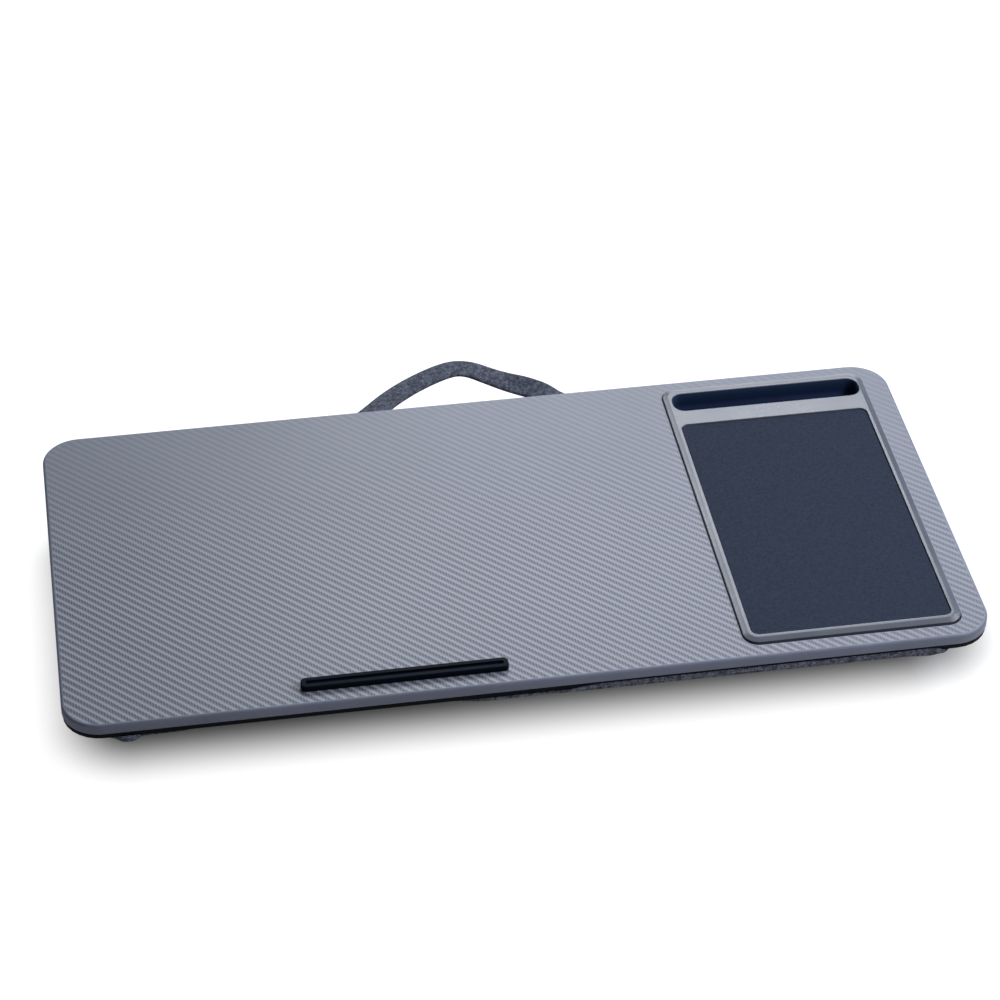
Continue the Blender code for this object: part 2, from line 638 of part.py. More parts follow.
def make_handle_strap(frame, parts):
    """Make the strap loop, which stands out of the back edge and turns about X at its round ends."""
    half = HANDLE_THICKNESS / 2
    outline = band_edge(-HANDLE_BAND_WIDTH / 2) + band_edge(HANDLE_BAND_WIDTH / 2)[::-1]
    band = prism(outline, -half, half)
    bmesh.ops.bisect_plane(band, geom=band.verts[:] + band.edges[:] + band.faces[:],
                           plane_co=(0, -half, 0), plane_no=(0, -1, 0), clear_outer=True)
    bmesh.ops.holes_fill(band, edges=[edge for edge in band.edges if edge.is_boundary])
    ends = [edge for edge in band.edges
            if all(abs(vert.co.y + half) < WELD_DISTANCE for vert in edge.verts)
            and abs(edge.verts[0].co.z - edge.verts[1].co.z) < WELD_DISTANCE]
    bmesh.ops.bevel(band, geom=ends, offset=HANDLE_THICKNESS * HANDLE_END_ROUND_SHARE, segments=4,
                    profile=ROUND_PROFILE_SHARE, affect="EDGES")
    bmesh.ops.recalc_face_normals(band, faces=band.faces)
    strap = add_piece("handle_strap", to_mesh(band, "handle_strap"), frame, parts, HEATHER_CLOTH)
    strap.location = (HANDLE_SHIFT, HINGE_Y, HINGE_Z)
    strap.rotation_euler.x = HANDLE_TILT
    return strap


def make_handle_tails(frame, parts, holes):
    """Make the strap's two tails, which lie in the board's channels on the backing sheet."""
    for side, name in ((-1, "handle_tail_left"), (1, "handle_tail_right")):
        start, direction = tail_line(side)
        across = Vector((-direction.y, direction.x)) * HANDLE_BAND_WIDTH / 2
        spread = Vector((HANDLE_BAND_WIDTH / 2 / math.sin(tail_angle()), 0)) * side
        end = start + direction * TAIL_LENGTH
        outline = [start - spread, end - across * side, end + across * side, start + spread]
        tail = slab(name, outline, PANEL_BOTTOM, PANEL_BOTTOM + HANDLE_THICKNESS)
        combine(add_piece(name, tail, frame, parts, HEATHER_CLOTH), holes["handle_screw"])


def bolster(width, depth, shrink, bottom, top):
    """Return a bmesh of a stuffed bolster: a sphere drawn out to a full, drawn-in pillow.

    Its plan is a superellipse whose sides are drawn in between the corners. Its section is a
    superellipse too, pressed flat at the bottom and where the board's sheet lies on it. Shrinking
    it takes the same amount off every side.
    """
    middle = CUSHION_HEIGHT * CUSHION_WIDEST_SHARE
    down = middle + CUSHION_FOOT_PRESS - shrink
    up = CUSHION_HEIGHT - middle + CUSHION_TOP_PRESS - shrink
    plan = 2 / CUSHION_PLAN_POWER_SHARE
    section = 2 / CUSHION_PROFILE_POWER_SHARE
    solid = bmesh.new()
    bmesh.ops.create_uvsphere(solid, u_segments=CUSHION_SEGMENTS, v_segments=CUSHION_RINGS, radius=1)
    for vert in solid.verts:
        ring = min(math.hypot(vert.co.x, vert.co.y), 1)
        angle = math.atan2(vert.co.y, vert.co.x)
        across = math.copysign(abs(math.cos(angle)) ** plan, vert.co.x)
        along = math.copysign(abs(math.sin(angle)) ** plan, vert.co.y)
        half_width = width / 2 - shrink - CUSHION_DRAW_IN * (1 - along ** 2)
        half_depth = depth / 2 - shrink - CUSHION_DRAW_IN * (1 - across ** 2)
        level = abs(vert.co.z) ** section * (up if vert.co.z > 0 else -down)
        spread = ring ** section
        vert.co = (across * half_width * spread, along * half_depth * spread, middle + level)
    for level, facing in ((bottom, -1), (top, 1)):
        bmesh.ops.bisect_plane(solid, geom=solid.verts[:] + solid.edges[:] + solid.faces[:],
                               plane_co=(0, 0, level), plane_no=(0, 0, facing), clear_outer=True)
    return solid


def close_level(solid, level):
    """Fill the open rim that lies at a level."""
    rim = [edge for edge in solid.edges if edge.is_boundary
           and all(abs(vert.co.z - level) < WELD_DISTANCE for vert in edge.verts)]
    bmesh.ops.holes_fill(solid, edges=rim)


def make_hem(side, name, opening, frame, cutters):
    """Make the hem by which a cover is glued under the sheet: half of the board's outline, with an opening."""
    outline = rounded_rectangle(BOARD_WIDTH - 2 * HEM_INSET, BOARD_DEPTH - 2 * HEM_INSET,
                                BOARD_CORNER_RADIUS - HEM_INSET)
    plate = prism(outline, CUSHION_HEIGHT - COVER_THICKNESS, CUSHION_HEIGHT)
    bmesh.ops.bisect_plane(plate, geom=plate.verts[:] + plate.edges[:] + plate.faces[:],
                           plane_co=(side * FIT_GAP, 0, 0), plane_no=(-side, 0, 0), clear_outer=True)
    bmesh.ops.holes_fill(plate, edges=[edge for edge in plate.edges if edge.is_boundary])
    bmesh.ops.recalc_face_normals(plate, faces=plate.faces)
    hem = add_cutter(f"{name}_hem", to_mesh(plate, f"{name}_hem"), frame, cutters)
    combine(hem, opening)
    return hem


def make_cushions(frame, parts, cutters):
    """Make both bolsters: a cover, open where its hem holds it under the sheet, and the filling in it."""
    width = BOARD_WIDTH / 2 - CUSHION_SIDE_INSET - CUSHION_VALLEY / 2
    depth = BOARD_DEPTH - 2 * CUSHION_FRONT_INSET
    offset = (width + CUSHION_VALLEY) / 2
    shrink = COVER_THICKNESS + FILLING_GAP
    for side, name in ((-1, "left"), (1, "right")):
        skin = bolster(width, depth, 0, 0, CUSHION_HEIGHT)
        close_level(skin, 0)
        bmesh.ops.recalc_face_normals(skin, faces=skin.faces)
        bmesh.ops.translate(skin, vec=(side * offset, 0, 0), verts=skin.verts)
        mesh = to_mesh(skin, f"{name}_cushion_cover")
        cover = add_piece(f"{name}_cushion_cover", mesh, frame, parts, HEATHER_CLOTH, 60.0)
        shell = cover.modifiers.new("cloth", "SOLIDIFY")
        shell.thickness = COVER_THICKNESS
        shell.offset = -1
        shell.use_even_offset = True
        hollow = bolster(width, depth, COVER_THICKNESS / 2, CUSHION_HEIGHT - 2 * COVER_THICKNESS,
                         CUSHION_HEIGHT + CUT_OVERRUN)
        for level in (CUSHION_HEIGHT - 2 * COVER_THICKNESS, CUSHION_HEIGHT + CUT_OVERRUN):
            close_level(hollow, level)
        bmesh.ops.recalc_face_normals(hollow, faces=hollow.faces)
        bmesh.ops.translate(hollow, vec=(side * offset, 0, 0), verts=hollow.verts)
        opening = add_cutter(f"{name}_hem_opening", to_mesh(hollow, f"{name}_hem_opening"), frame, cutters)
        combine(cover, make_hem(side, name, opening, frame, cutters), "UNION")
        stuffing = bolster(width, depth, shrink, shrink, CUSHION_HEIGHT)
        close_level(stuffing, shrink)
        close_level(stuffing, CUSHION_HEIGHT)
        bmesh.ops.recalc_face_normals(stuffing, faces=stuffing.faces)
        bmesh.ops.translate(stuffing, vec=(side * offset, 0, 0), verts=stuffing.verts)
        filling = to_mesh(stuffing, f"{name}_cushion_filling")
        add_piece(f"{name}_cushion_filling", filling, frame, parts, POLYESTER_FILL, 60.0)


def main():
    """Build the laptop tray."""
    clear_scene()
    parts = new_collection("laptop_tray")
    cutters = new_collection("cutters")
    frame = bpy.data.objects.new("board_frame", None)
    parts.objects.link(frame)
    frame.location = (0, BOARD_Y, 0)
    bpy.context.view_layer.update()

    holes = make_screws(frame, parts, cutters)
    make_top_panel(frame, parts, cutters, holes)
    make_backing_sheet(frame, parts, cutters, holes)
    make_tray_insert(frame, parts, cutters, holes)
    make_phone_well(frame, parts, cutters)
    make_mouse_pad(frame, parts)
    make_device_ledge(frame, parts, cutters)
    make_push_nuts(frame, parts)
    make_handle_strap(frame, parts)
    make_handle_tails(frame, parts, holes)
    make_cushions(frame, parts, cutters)


main()
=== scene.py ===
"""Looks of the laptop tray: film, moulded tray, pad, ledge, strap and stuffed cushions, in a white studio.

Metres, +Z up, in the row frame. Depths that carry no other name are measured from the board's middle.
"""
import logging
import math
from collections.abc import Sequence
from dataclasses import dataclass, field, replace
from enum import Enum

import bmesh
import bpy
import numpy as np
from mathutils import Matrix, Vector
from mathutils.geometry import tessellate_polygon


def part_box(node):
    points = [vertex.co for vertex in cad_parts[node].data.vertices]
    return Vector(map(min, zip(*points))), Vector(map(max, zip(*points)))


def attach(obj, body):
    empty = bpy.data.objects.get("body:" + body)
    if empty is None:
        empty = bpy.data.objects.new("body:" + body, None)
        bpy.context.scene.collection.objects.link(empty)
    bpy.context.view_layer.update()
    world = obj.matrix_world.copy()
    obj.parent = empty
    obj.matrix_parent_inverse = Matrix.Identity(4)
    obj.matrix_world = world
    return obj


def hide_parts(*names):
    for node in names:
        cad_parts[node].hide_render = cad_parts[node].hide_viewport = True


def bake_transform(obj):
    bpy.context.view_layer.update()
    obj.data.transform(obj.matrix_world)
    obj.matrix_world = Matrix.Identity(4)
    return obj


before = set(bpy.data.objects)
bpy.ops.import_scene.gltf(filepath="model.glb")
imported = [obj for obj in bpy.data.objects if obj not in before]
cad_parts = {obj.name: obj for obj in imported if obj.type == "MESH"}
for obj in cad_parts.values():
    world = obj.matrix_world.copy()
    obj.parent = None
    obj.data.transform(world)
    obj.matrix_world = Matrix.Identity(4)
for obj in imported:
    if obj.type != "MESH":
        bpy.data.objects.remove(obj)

log = logging.getLogger("laptop_tray")

Array = np.ndarray
Pair = tuple[float, float]
Triple = tuple[float, float, float]
Colour = Triple
Socket = bpy.types.NodeSocket
Piece = bpy.types.Object
Finish = bpy.types.Material
WELD = 1e-6
FIT = 0.0003
BOARD_WIDTH = 0.560
BOARD_DEPTH = 0.280
FLAT_MARGIN = 0.0002


@dataclass(frozen=True)
class Levels:
    """Heights that the pieces share, and the board's middle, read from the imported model."""

    board_y: float
    sheet_bottom: float
    panel_bottom: float
    panel_top: float
    tray_top: float
    recess_floor: float

    @classmethod
    def read(cls) -> "Levels":
        """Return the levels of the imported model's nodes at rest."""
        names = ("backing_sheet", "top_panel", "tray_insert", "mouse_pad_base")
        sheet, panel, tray, base = (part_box(name) for name in names)
        return cls(board_y=(sheet[0][1] + sheet[1][1]) / 2, sheet_bottom=sheet[0][2],
                   panel_bottom=panel[0][2], panel_top=panel[1][2], tray_top=tray[1][2],
                   recess_floor=base[0][2] - FIT)


LEVELS = Levels.read()


class Weave(Enum):
    """How a cloth's threads are laid, with the threads' pitch in metres."""

    KNIT = 0.00055
    PLAIN = 0.00075
    WEBBING = 0.00095


class NodeBench:
    """The node tree of a material or a world, with short ways to add nodes and join them."""

    def __init__(self, owner: str | bpy.types.World) -> None:
        """Start a new material by its name, or work on a world."""
        self.owner = bpy.data.materials.new(owner) if isinstance(owner, str) else owner
        self.owner.use_nodes = True
        self.nodes = self.owner.node_tree.nodes

    def add(self, kind: str, settings: dict | None = None, inputs: dict | None = None) -> bpy.types.Node:
        """Add a node.

        Args:
            kind: The node's type name without the ShaderNode in front.
            settings: Properties to set on the node.
            inputs: Sockets, numbers or colours for its inputs, by name or place.

        Returns:
            The new node.
        """
        node = self.nodes.new(f"ShaderNode{kind}")
        for name, value in (settings or {}).items():
            setattr(node, name, value)
        for name, value in (inputs or {}).items():
            self.feed(node.inputs[name], value)
        return node

    def feed(self, socket: Socket, value: object) -> None:
        """Join a socket to another socket, or set its value."""
        if isinstance(value, bpy.types.NodeSocket):
            self.owner.node_tree.links.new(value, socket)
        elif isinstance(value, tuple) and len(value) == 3 and socket.type == "RGBA":
            socket.default_value = (*value, 1.0)
        else:
            socket.default_value = value

    def math(self, operation: str, *values: object) -> Socket:
        """Return the result of a Math node on sockets or numbers."""
        node = self.add("Math", {"operation": operation}, dict(enumerate(values)))
        return node.outputs[0]

    def plus(self, first: object, second: object) -> Socket:
        """Return a sum."""
        return self.math("ADD", first, second)

    def minus(self, first: object, second: object) -> Socket:
        """Return a difference."""
        return self.math("SUBTRACT", first, second)

    def times(self, first: object, second: object) -> Socket:
        """Return a product."""
        return self.math("MULTIPLY", first, second)

    def span(self, value: Socket, low: float, high: float, start: float = 0.0, end: float = 1.0) -> Socket:
        """Return a value carried smoothly from the range low..high to the range start..end."""
        node = self.add("MapRange", {"interpolation_type": "SMOOTHSTEP"},
                        {0: value, 1: low, 2: high, 3: start, 4: end})
        return node.outputs[0]

    def mix(self, factor: object, first: object, second: object, blend: str = "MIX") -> Socket:
        """Return a colour mixed from two."""
        node = self.add("Mix", {"data_type": "RGBA", "blend_type": blend}, {0: factor, 6: first, 7: second})
        return node.outputs[2]

    def places(self) -> Socket:
        """Return the Object coordinates."""
        return self.add("TexCoord").outputs["Object"]

    def axes(self, vector: Socket) -> Sequence[Socket]:
        """Return a vector's X, Y and Z."""
        return self.add("SeparateXYZ", {}, {0: vector}).outputs

    def reach(self, vector: Socket, direction: Triple, start: float) -> Socket:
        """Return how far a vector reaches along a direction, plus a start."""
        node = self.add("VectorMath", {"operation": "DOT_PRODUCT"}, {0: vector, 1: direction})
        return self.plus(node.outputs["Value"], start)

    def scaled(self, vector: Socket, scale: Triple) -> Socket:
        """Return a vector scaled along each axis."""
        return self.add("Mapping", {}, {"Vector": vector, "Scale": scale}).outputs[0]

    def noise(self, vector: Socket, scale: float, detail: float = 2.0, rough: float = 0.5) -> Socket:
        """Return a grey noise between 0 and 1."""
        inputs = {"Vector": vector, "Scale": scale, "Detail": detail, "Roughness": rough}
        return self.add("TexNoise", {}, inputs).outputs[0]

    def bump(self, height: Socket, distance: float, strength: float = 1.0) -> None:
        """Feed the shader's normal with a height in metres times distance."""
        node = self.add("Bump", {}, {"Height": height, "Distance": distance, "Strength": strength})
        self.surface(Normal=node.outputs[0])

    def surface(self, **values: object) -> None:
        """Set inputs of the Principled shader, named with underscores for spaces."""
        for name, value in values.items():
            self.feed(self.nodes["Principled BSDF"].inputs[name.replace("_", " ")], value)


@dataclass(frozen=True)
class WovenFilm:
    """Grey laminate film with a printed twill: two threads over, two under, in diagonal ribs."""

    name: str = "woven_film"
    dark: Colour = (0.102, 0.109, 0.131)
    light: Colour = (0.420, 0.446, 0.540)
    across: Triple = (628.68, 6.31, 0.0)
    along: Triple = (-11.14, 613.20, 0.0)
    start: Pair = (3.18, 0.46)
    roughness: float = 0.42
    threads_per_turn: float = 4.0
    rib_tone: float = 0.72
    cell_tone: float = 0.9
    thread_tone: float = 0.15
    middle_shade: float = 0.49
    middle_tone: float = 0.40
    cloud: Triple = (0.10, 14.0, 3.0)
    grain: Triple = (0.30, 2600.0, 1.0)

    def material(self) -> Finish:
        """Return the film's material.

        Two directions count the printed threads across and along the board, per metre. Cell (i, j)
        shows its dark lengthwise thread where (i + j) modulo 4 is under 2. Over the cells lies a rib
        whose tone rises fast and falls slowly across the diagonal, four threads from crest to crest.
        The print is paler towards the back and the right, as on film rubbed down from the front left.
        Cloud and grain are a strength, a scale and a detail of noise.
        """
        bench = NodeBench(self.name)
        places = bench.places()
        board_y = LEVELS.board_y
        across, along = (bench.reach(places, way, start - way[1] * board_y)
                         for way, start in zip((self.across, self.along), self.start))
        step = bench.plus(bench.math("FLOOR", bench.minus(across, 0.35)), bench.math("FLOOR", along))
        past = bench.minus(bench.plus(across, along), 3.5)
        past = bench.math("FLOORED_MODULO", past, self.threads_per_turn)
        rib = bench.math("MAXIMUM", bench.span(past, 0.0, 1.5, 1.0, 0.0), bench.span(past, 2.7, 3.8))
        over = bench.math("LESS_THAN", bench.math("FLOORED_MODULO", step, self.threads_per_turn), 1.5)
        under = bench.minus(1.0, over)
        rise_across, rise_along = (bench.math("PINGPONG", count, 0.5) for count in (across, along))
        tow = bench.plus(bench.times(over, rise_across), bench.times(under, rise_along))
        east, north, _ = bench.axes(places)
        contrast = bench.times(bench.span(east, -0.06, 0.28, 1.0, 0.55),
                               bench.span(north, board_y - 0.06, board_y + 0.15, 1.15, 0.24))
        cells = bench.times(bench.minus(1.0, rib), bench.times(rise_across, self.cell_tone))
        shade = bench.plus(bench.plus(bench.times(rib, self.rib_tone), cells),
                           bench.times(under, self.thread_tone))
        tone = bench.plus(bench.times(bench.minus(shade, self.middle_shade), contrast), self.middle_tone)
        for strength, scale, detail in (self.cloud, self.grain):
            speck = bench.minus(bench.noise(places, scale, detail), 0.5)
            tone = bench.plus(tone, bench.times(speck, strength))
        bench.bump(tow, 0.00010, 0.4)
        bench.surface(Base_Color=bench.mix(tone, self.dark, self.light), Roughness=self.roughness,
                      Specular_IOR_Level=0.26)
        return bench.owner


@dataclass(frozen=True)
class MouldedPlastic:
    """Moulded or wrapped plastic with a fine grain and slightly rubbed tone."""

    name: str
    colour: Colour
    worn: Colour
    roughness: float = 0.42
    grain_scale: float = 2200.0
    grain_depth: float = 0.00004
    specular: float = 0.5

    def material(self) -> Finish:
        """Return the plastic's material."""
        bench = NodeBench(self.name)
        places = bench.places()
        cloud = bench.noise(places, 22.0, 4.0, 0.6)
        grain = bench.noise(places, self.grain_scale, 2.0)
        tone = bench.plus(bench.span(cloud, 0.35, 0.70, 0.0, 0.7), bench.times(grain, 0.3))
        bench.surface(Base_Color=bench.mix(tone, self.colour, self.worn),
                      Roughness=bench.span(cloud, 0.3, 0.7, self.roughness - 0.04, self.roughness + 0.04),
                      Specular_IOR_Level=self.specular)
        bench.bump(grain, self.grain_depth, 0.6)
        return bench.owner


@dataclass(frozen=True)
class LinerPlastic:
    """Matt navy plastic of the slot's cup, with painted shade that darkens it towards its floor."""

    name: str = "liner_plastic"
    # painted shade: the dark colour at the cup's floor, where shade falls deep in the slot
    painted_shade: Colour = (0.0045, 0.0130, 0.0500)
    rim: Colour = (0.0200, 0.0400, 0.0860)

    def material(self) -> Finish:
        """Return the cup's material. Painted shade: the tone rises smoothly from the dark floor to the rim,
        with a fine grain.
        """
        bench = NodeBench(self.name)
        places = bench.places()
        height = bench.axes(places)[2]
        grain = bench.noise(places, 2200.0, 2.0)
        # painted shade, from just above the sheet's bottom up to just above the tray's top
        tone = bench.plus(bench.span(height, LEVELS.sheet_bottom + 0.0015, LEVELS.tray_top + 0.001),
                          bench.times(grain, 0.08))
        bench.surface(Base_Color=bench.mix(tone, self.painted_shade, self.rim), Roughness=0.6, Specular_IOR_Level=0.12)
        bench.bump(grain, 0.00004, 0.6)
        return bench.owner


@dataclass(frozen=True)
class HeatherCloth:
    """Cloth of mixed yarns: threads of a plain weave, flecked with darker and paler fibres."""

    name: str
    dark: Colour
    light: Colour
    weave: Weave
    fleck: float = 0.5
    fleck_scale: float = 1500.0
    sheen: float = 0.15

    def material(self) -> Finish:
        """Return the cloth's material. A thread's height is the sine of its place across the weave."""
        bench = NodeBench(self.name)
        places = bench.places()
        drift = bench.times(bench.minus(bench.noise(places, 160.0, 2.0), 0.5), 1.6)
        east, north, above = bench.axes(places)
        turn = 2.0 * math.pi / self.weave.value
        rise, slant, counter = (
            bench.math("SINE", bench.plus(bench.times(way, pace), drift))
            for way, pace in ((above, turn), (bench.plus(east, north), turn * 0.7),
                              (bench.minus(east, north), turn * 0.7)))
        threads = bench.plus(bench.times(slant, counter), bench.times(slant, rise))
        weave = bench.span(threads, -1.1, 1.1)
        fibre = bench.noise(bench.scaled(places, (1.0, 1.7, 1.3)), self.fleck_scale, 3.0, 0.7)
        blotch = bench.noise(places, self.fleck_scale * 0.3, 3.0, 0.6)
        melange = bench.span(bench.plus(bench.times(fibre, 0.6), bench.times(blotch, 0.4)), 0.42, 0.62)
        tone = bench.plus(bench.times(melange, self.fleck), bench.times(weave, 1.0 - self.fleck))
        bench.surface(Base_Color=bench.mix(tone, self.dark, self.light), Roughness=0.92,
                      Specular_IOR_Level=0.25, Sheen_Weight=self.sheen, Sheen_Roughness=0.5)
        bench.bump(bench.plus(weave, bench.times(fibre, 0.7)), 0.00025, 0.8)
        return bench.owner


@dataclass(frozen=True)
class PlatedSteel:
    """Zinc-plated steel with a faint mottle."""

    name: str = "plated_steel"
    pale: Colour = (0.62, 0.62, 0.60)
    dull: Colour = (0.42, 0.42, 0.41)

    def material(self) -> Finish:
        """Return the metal's material."""
        bench = NodeBench(self.name)
        mottle = bench.noise(bench.places(), 900.0, 3.0, 0.6)
        bench.surface(Base_Color=bench.mix(mottle, self.dull, self.pale), Metallic=1.0,
                      Roughness=bench.span(mottle, 0.2, 0.8, 0.28, 0.45))
        bench.bump(mottle, 0.00003, 0.4)
        return bench.owner


@dataclass(frozen=True)
class RoundedRectangle:
    """A rectangle in plan, with radii for its back right, back left, front left and front right corners.

    A quarter turn has arc_steps steps. The shares, between 0 and 1, are places along the straight
    runs of the back, left, front and right sides.
    """

    centre: Pair
    width: float
    depth: float
    radii: tuple[float, ...]
    arc_steps: int
    shares: Sequence[Array]

    def grown(self, by: float) -> "RoundedRectangle":
        """Return the outline moved outwards by a length, with its straight runs kept."""
        radii = tuple(radius + by for radius in self.radii)
        return replace(self, width=self.width + 2 * by, depth=self.depth + 2 * by, radii=radii)

    def ring(self, by: float, height: float) -> Array:
        """Return the outline's points, grown by a length and lifted to a height."""
        return level_ring(self.grown(by).loop(), height)

    def loop(self) -> Array:
        """Return the outline's points in plan, one row each, anticlockwise from the right side's back end.

        A corner's points are its centre plus its radius times (cos a, sin a). A side's points lie at
        the shares of the straight run between two corners.
        """
        radii = np.array(self.radii)
        signs = np.array([(1, 1), (-1, 1), (-1, -1), (1, -1)], float)
        reach = np.array([self.width, self.depth]) / 2 - radii[:, None]
        centres = np.array(self.centre) + signs * reach
        angles = (np.arange(4)[:, None] + np.linspace(0, 1, self.arc_steps + 1)) * math.pi / 2
        spokes = np.stack([np.cos(angles), np.sin(angles)], -1) * radii[:, None, None]
        arcs = centres[:, None] + spokes
        runs = []
        for corner in range(4):
            start, end = arcs[corner, -1], arcs[(corner + 1) % 4, 0]
            runs += [arcs[corner], start + np.asarray(self.shares[corner])[:, None] * (end - start)]
        return np.concatenate(runs)


@dataclass
class Skin:
    """Surfaces gathered into one closed mesh: rings of points joined by quads, and flat caps."""

    points: list[Array] = field(default_factory=list)
    faces: list[tuple[int, ...]] = field(default_factory=list)
    tints: list[int] = field(default_factory=list)
    count: int = 0

    def add_rings(self, rings: Sequence[Array], closed: bool = False, tint: int = 0) -> None:
        """Join rings, each to the next, with quads.

        Args:
            rings: Points as (ring, place round the ring, coordinate).
            closed: Whether the last ring joins the first.
            tint: The material's place on the piece.
        """
        stack = np.asarray(rings)
        number, size = stack.shape[:2]
        rows = np.arange(number if closed else number - 1)[:, None]
        here, there = np.arange(size), np.roll(np.arange(size), -1)
        low, high = rows * size, (rows + 1) % number * size
        quads = np.stack([low + here, low + there, high + there, high + here], -1)
        self.add_faces(stack.reshape(-1, 3), quads.reshape(-1, 4), tint)

    def add_faces(self, points: Array, quads: Array, tint: int = 0) -> None:
        """Add points and the quads between them."""
        self.faces += list(map(tuple, (quads + self.count).tolist()))
        self.tints += [tint] * len(quads)
        self.points.append(points)
        self.count += len(points)

    def add_cap(self, ring: Array, tint: int = 0) -> None:
        """Close a ring with one flat face."""
        self.add_faces(ring, np.arange(len(ring))[None], tint)

    def add_pierced(self, rim: Array, hole: Array, tint: int = 0) -> None:
        """Fill the flat space between a rim and a hole in it with triangles."""
        loops = [[Vector(point) for point in loop] for loop in (rim, hole)]
        self.add_faces(np.concatenate([rim, hole]), np.array(tessellate_polygon(loops)), tint)

    @classmethod
    def tube(cls, rings: Sequence[Array]) -> "Skin":
        """Return the skin of a form made of rings, with a flat cap at each end."""
        skin = cls()
        skin.add_rings(rings)
        skin.add_cap(rings[0])
        skin.add_cap(rings[-1])
        return skin

    def build(self, name: str, finishes: Sequence[Finish], sharp: float = 40.0) -> Piece:
        """Weld the surfaces into one object that faces outwards.

        Args:
            name: The piece's name.
            finishes: Its materials.
            sharp: The angle in degrees above which an edge stays sharp.

        Returns:
            The piece.
        """
        mesh = bpy.data.meshes.new(name)
        mesh.from_pydata(np.concatenate(self.points), [], self.faces)
        mesh.polygons.foreach_set("material_index", self.tints)
        solid = bmesh.new()
        solid.from_mesh(mesh)
        bmesh.ops.remove_doubles(solid, verts=solid.verts, dist=WELD)
        bmesh.ops.dissolve_degenerate(solid, edges=solid.edges, dist=WELD)
        bmesh.ops.recalc_face_normals(solid, faces=solid.faces)
        solid.to_mesh(mesh)
        solid.free()
        for finish in finishes:
            mesh.materials.append(finish)
        mesh.shade_smooth()
        mesh.set_sharp_from_angle(angle=math.radians(sharp))
        return link_piece(name, mesh)


def link_piece(name: str, data: bpy.types.ID) -> Piece:
    """Return a new object for a mesh, a lamp or a camera, linked to the scene."""
    piece = bpy.data.objects.new(name, data)
    bpy.context.scene.collection.objects.link(piece)
    return piece


def even_shares(steps: int) -> list[Array]:
    """Return the same evenly spaced shares for all four sides."""
    return [np.linspace(0, 1, steps + 1)[1:-1]] * 4


def level_ring(loop: Array, height: float | Array) -> Array:
    """Return a plan loop lifted to a height."""
    return np.column_stack([loop, np.broadcast_to(height, len(loop))])


def quarter_round(radius: float, steps: int) -> Array:
    """Return (inset, drop) pairs of a quarter circle, from the flat top to the upright side.

    The inset is radius times (1 - sin a) and the drop is radius times (1 - cos a).
    """
    angle = np.linspace(0, math.pi / 2, steps + 1)
    return np.column_stack([radius * (1 - np.sin(angle)), radius * (1 - np.cos(angle))])


def smooth(value: Array, low: float, high: float) -> Array:
    """Return 0 below low and 1 above high, with the cubic 3t^2 - 2t^3 between."""
    share = np.clip((value - low) / (high - low), 0, 1)
    return share * share * (3 - 2 * share)


def plateau(value: Array, rise: Pair, fall: Pair) -> Array:
    """Return a smooth step up over one range and down over another."""
    return smooth(value, *rise) * (1 - smooth(value, *fall))


def signed_power(value: Array, power: float) -> Array:
    """Return a power of the values' sizes, with their signs kept."""
    return np.sign(value) * np.abs(value) ** power


def hump(value: Array, middle: float, width: float) -> Array:
    """Return the bell exp(-((value - middle) / width)^2)."""
    return np.exp(-((value - middle) / width) ** 2)


def curve_through(guides: Sequence[Pair], steps: int) -> Array:
    """Return a smooth curve through guide points.

    Between two guides it is the cubic whose end slopes are half the difference of their neighbours.
    """
    points = np.array(guides)
    ends = 2 * points[[0, -1]] - points[[1, -2]]
    points = np.concatenate([ends[:1], points, ends[1:]])
    before, start, end, after = points[:-3, None], points[1:-2, None], points[2:-1, None], points[3:, None]
    share = np.linspace(0, 1, steps, endpoint=False)[:, None]
    square = 2 * before - 5 * start + 4 * end - after
    cube = 3 * start - before - 3 * end + after
    spans = 0.5 * (2 * start + (end - before) * share + square * share ** 2 + cube * share ** 3)
    return np.concatenate([spans.reshape(-1, 2), points[-2:-1]])


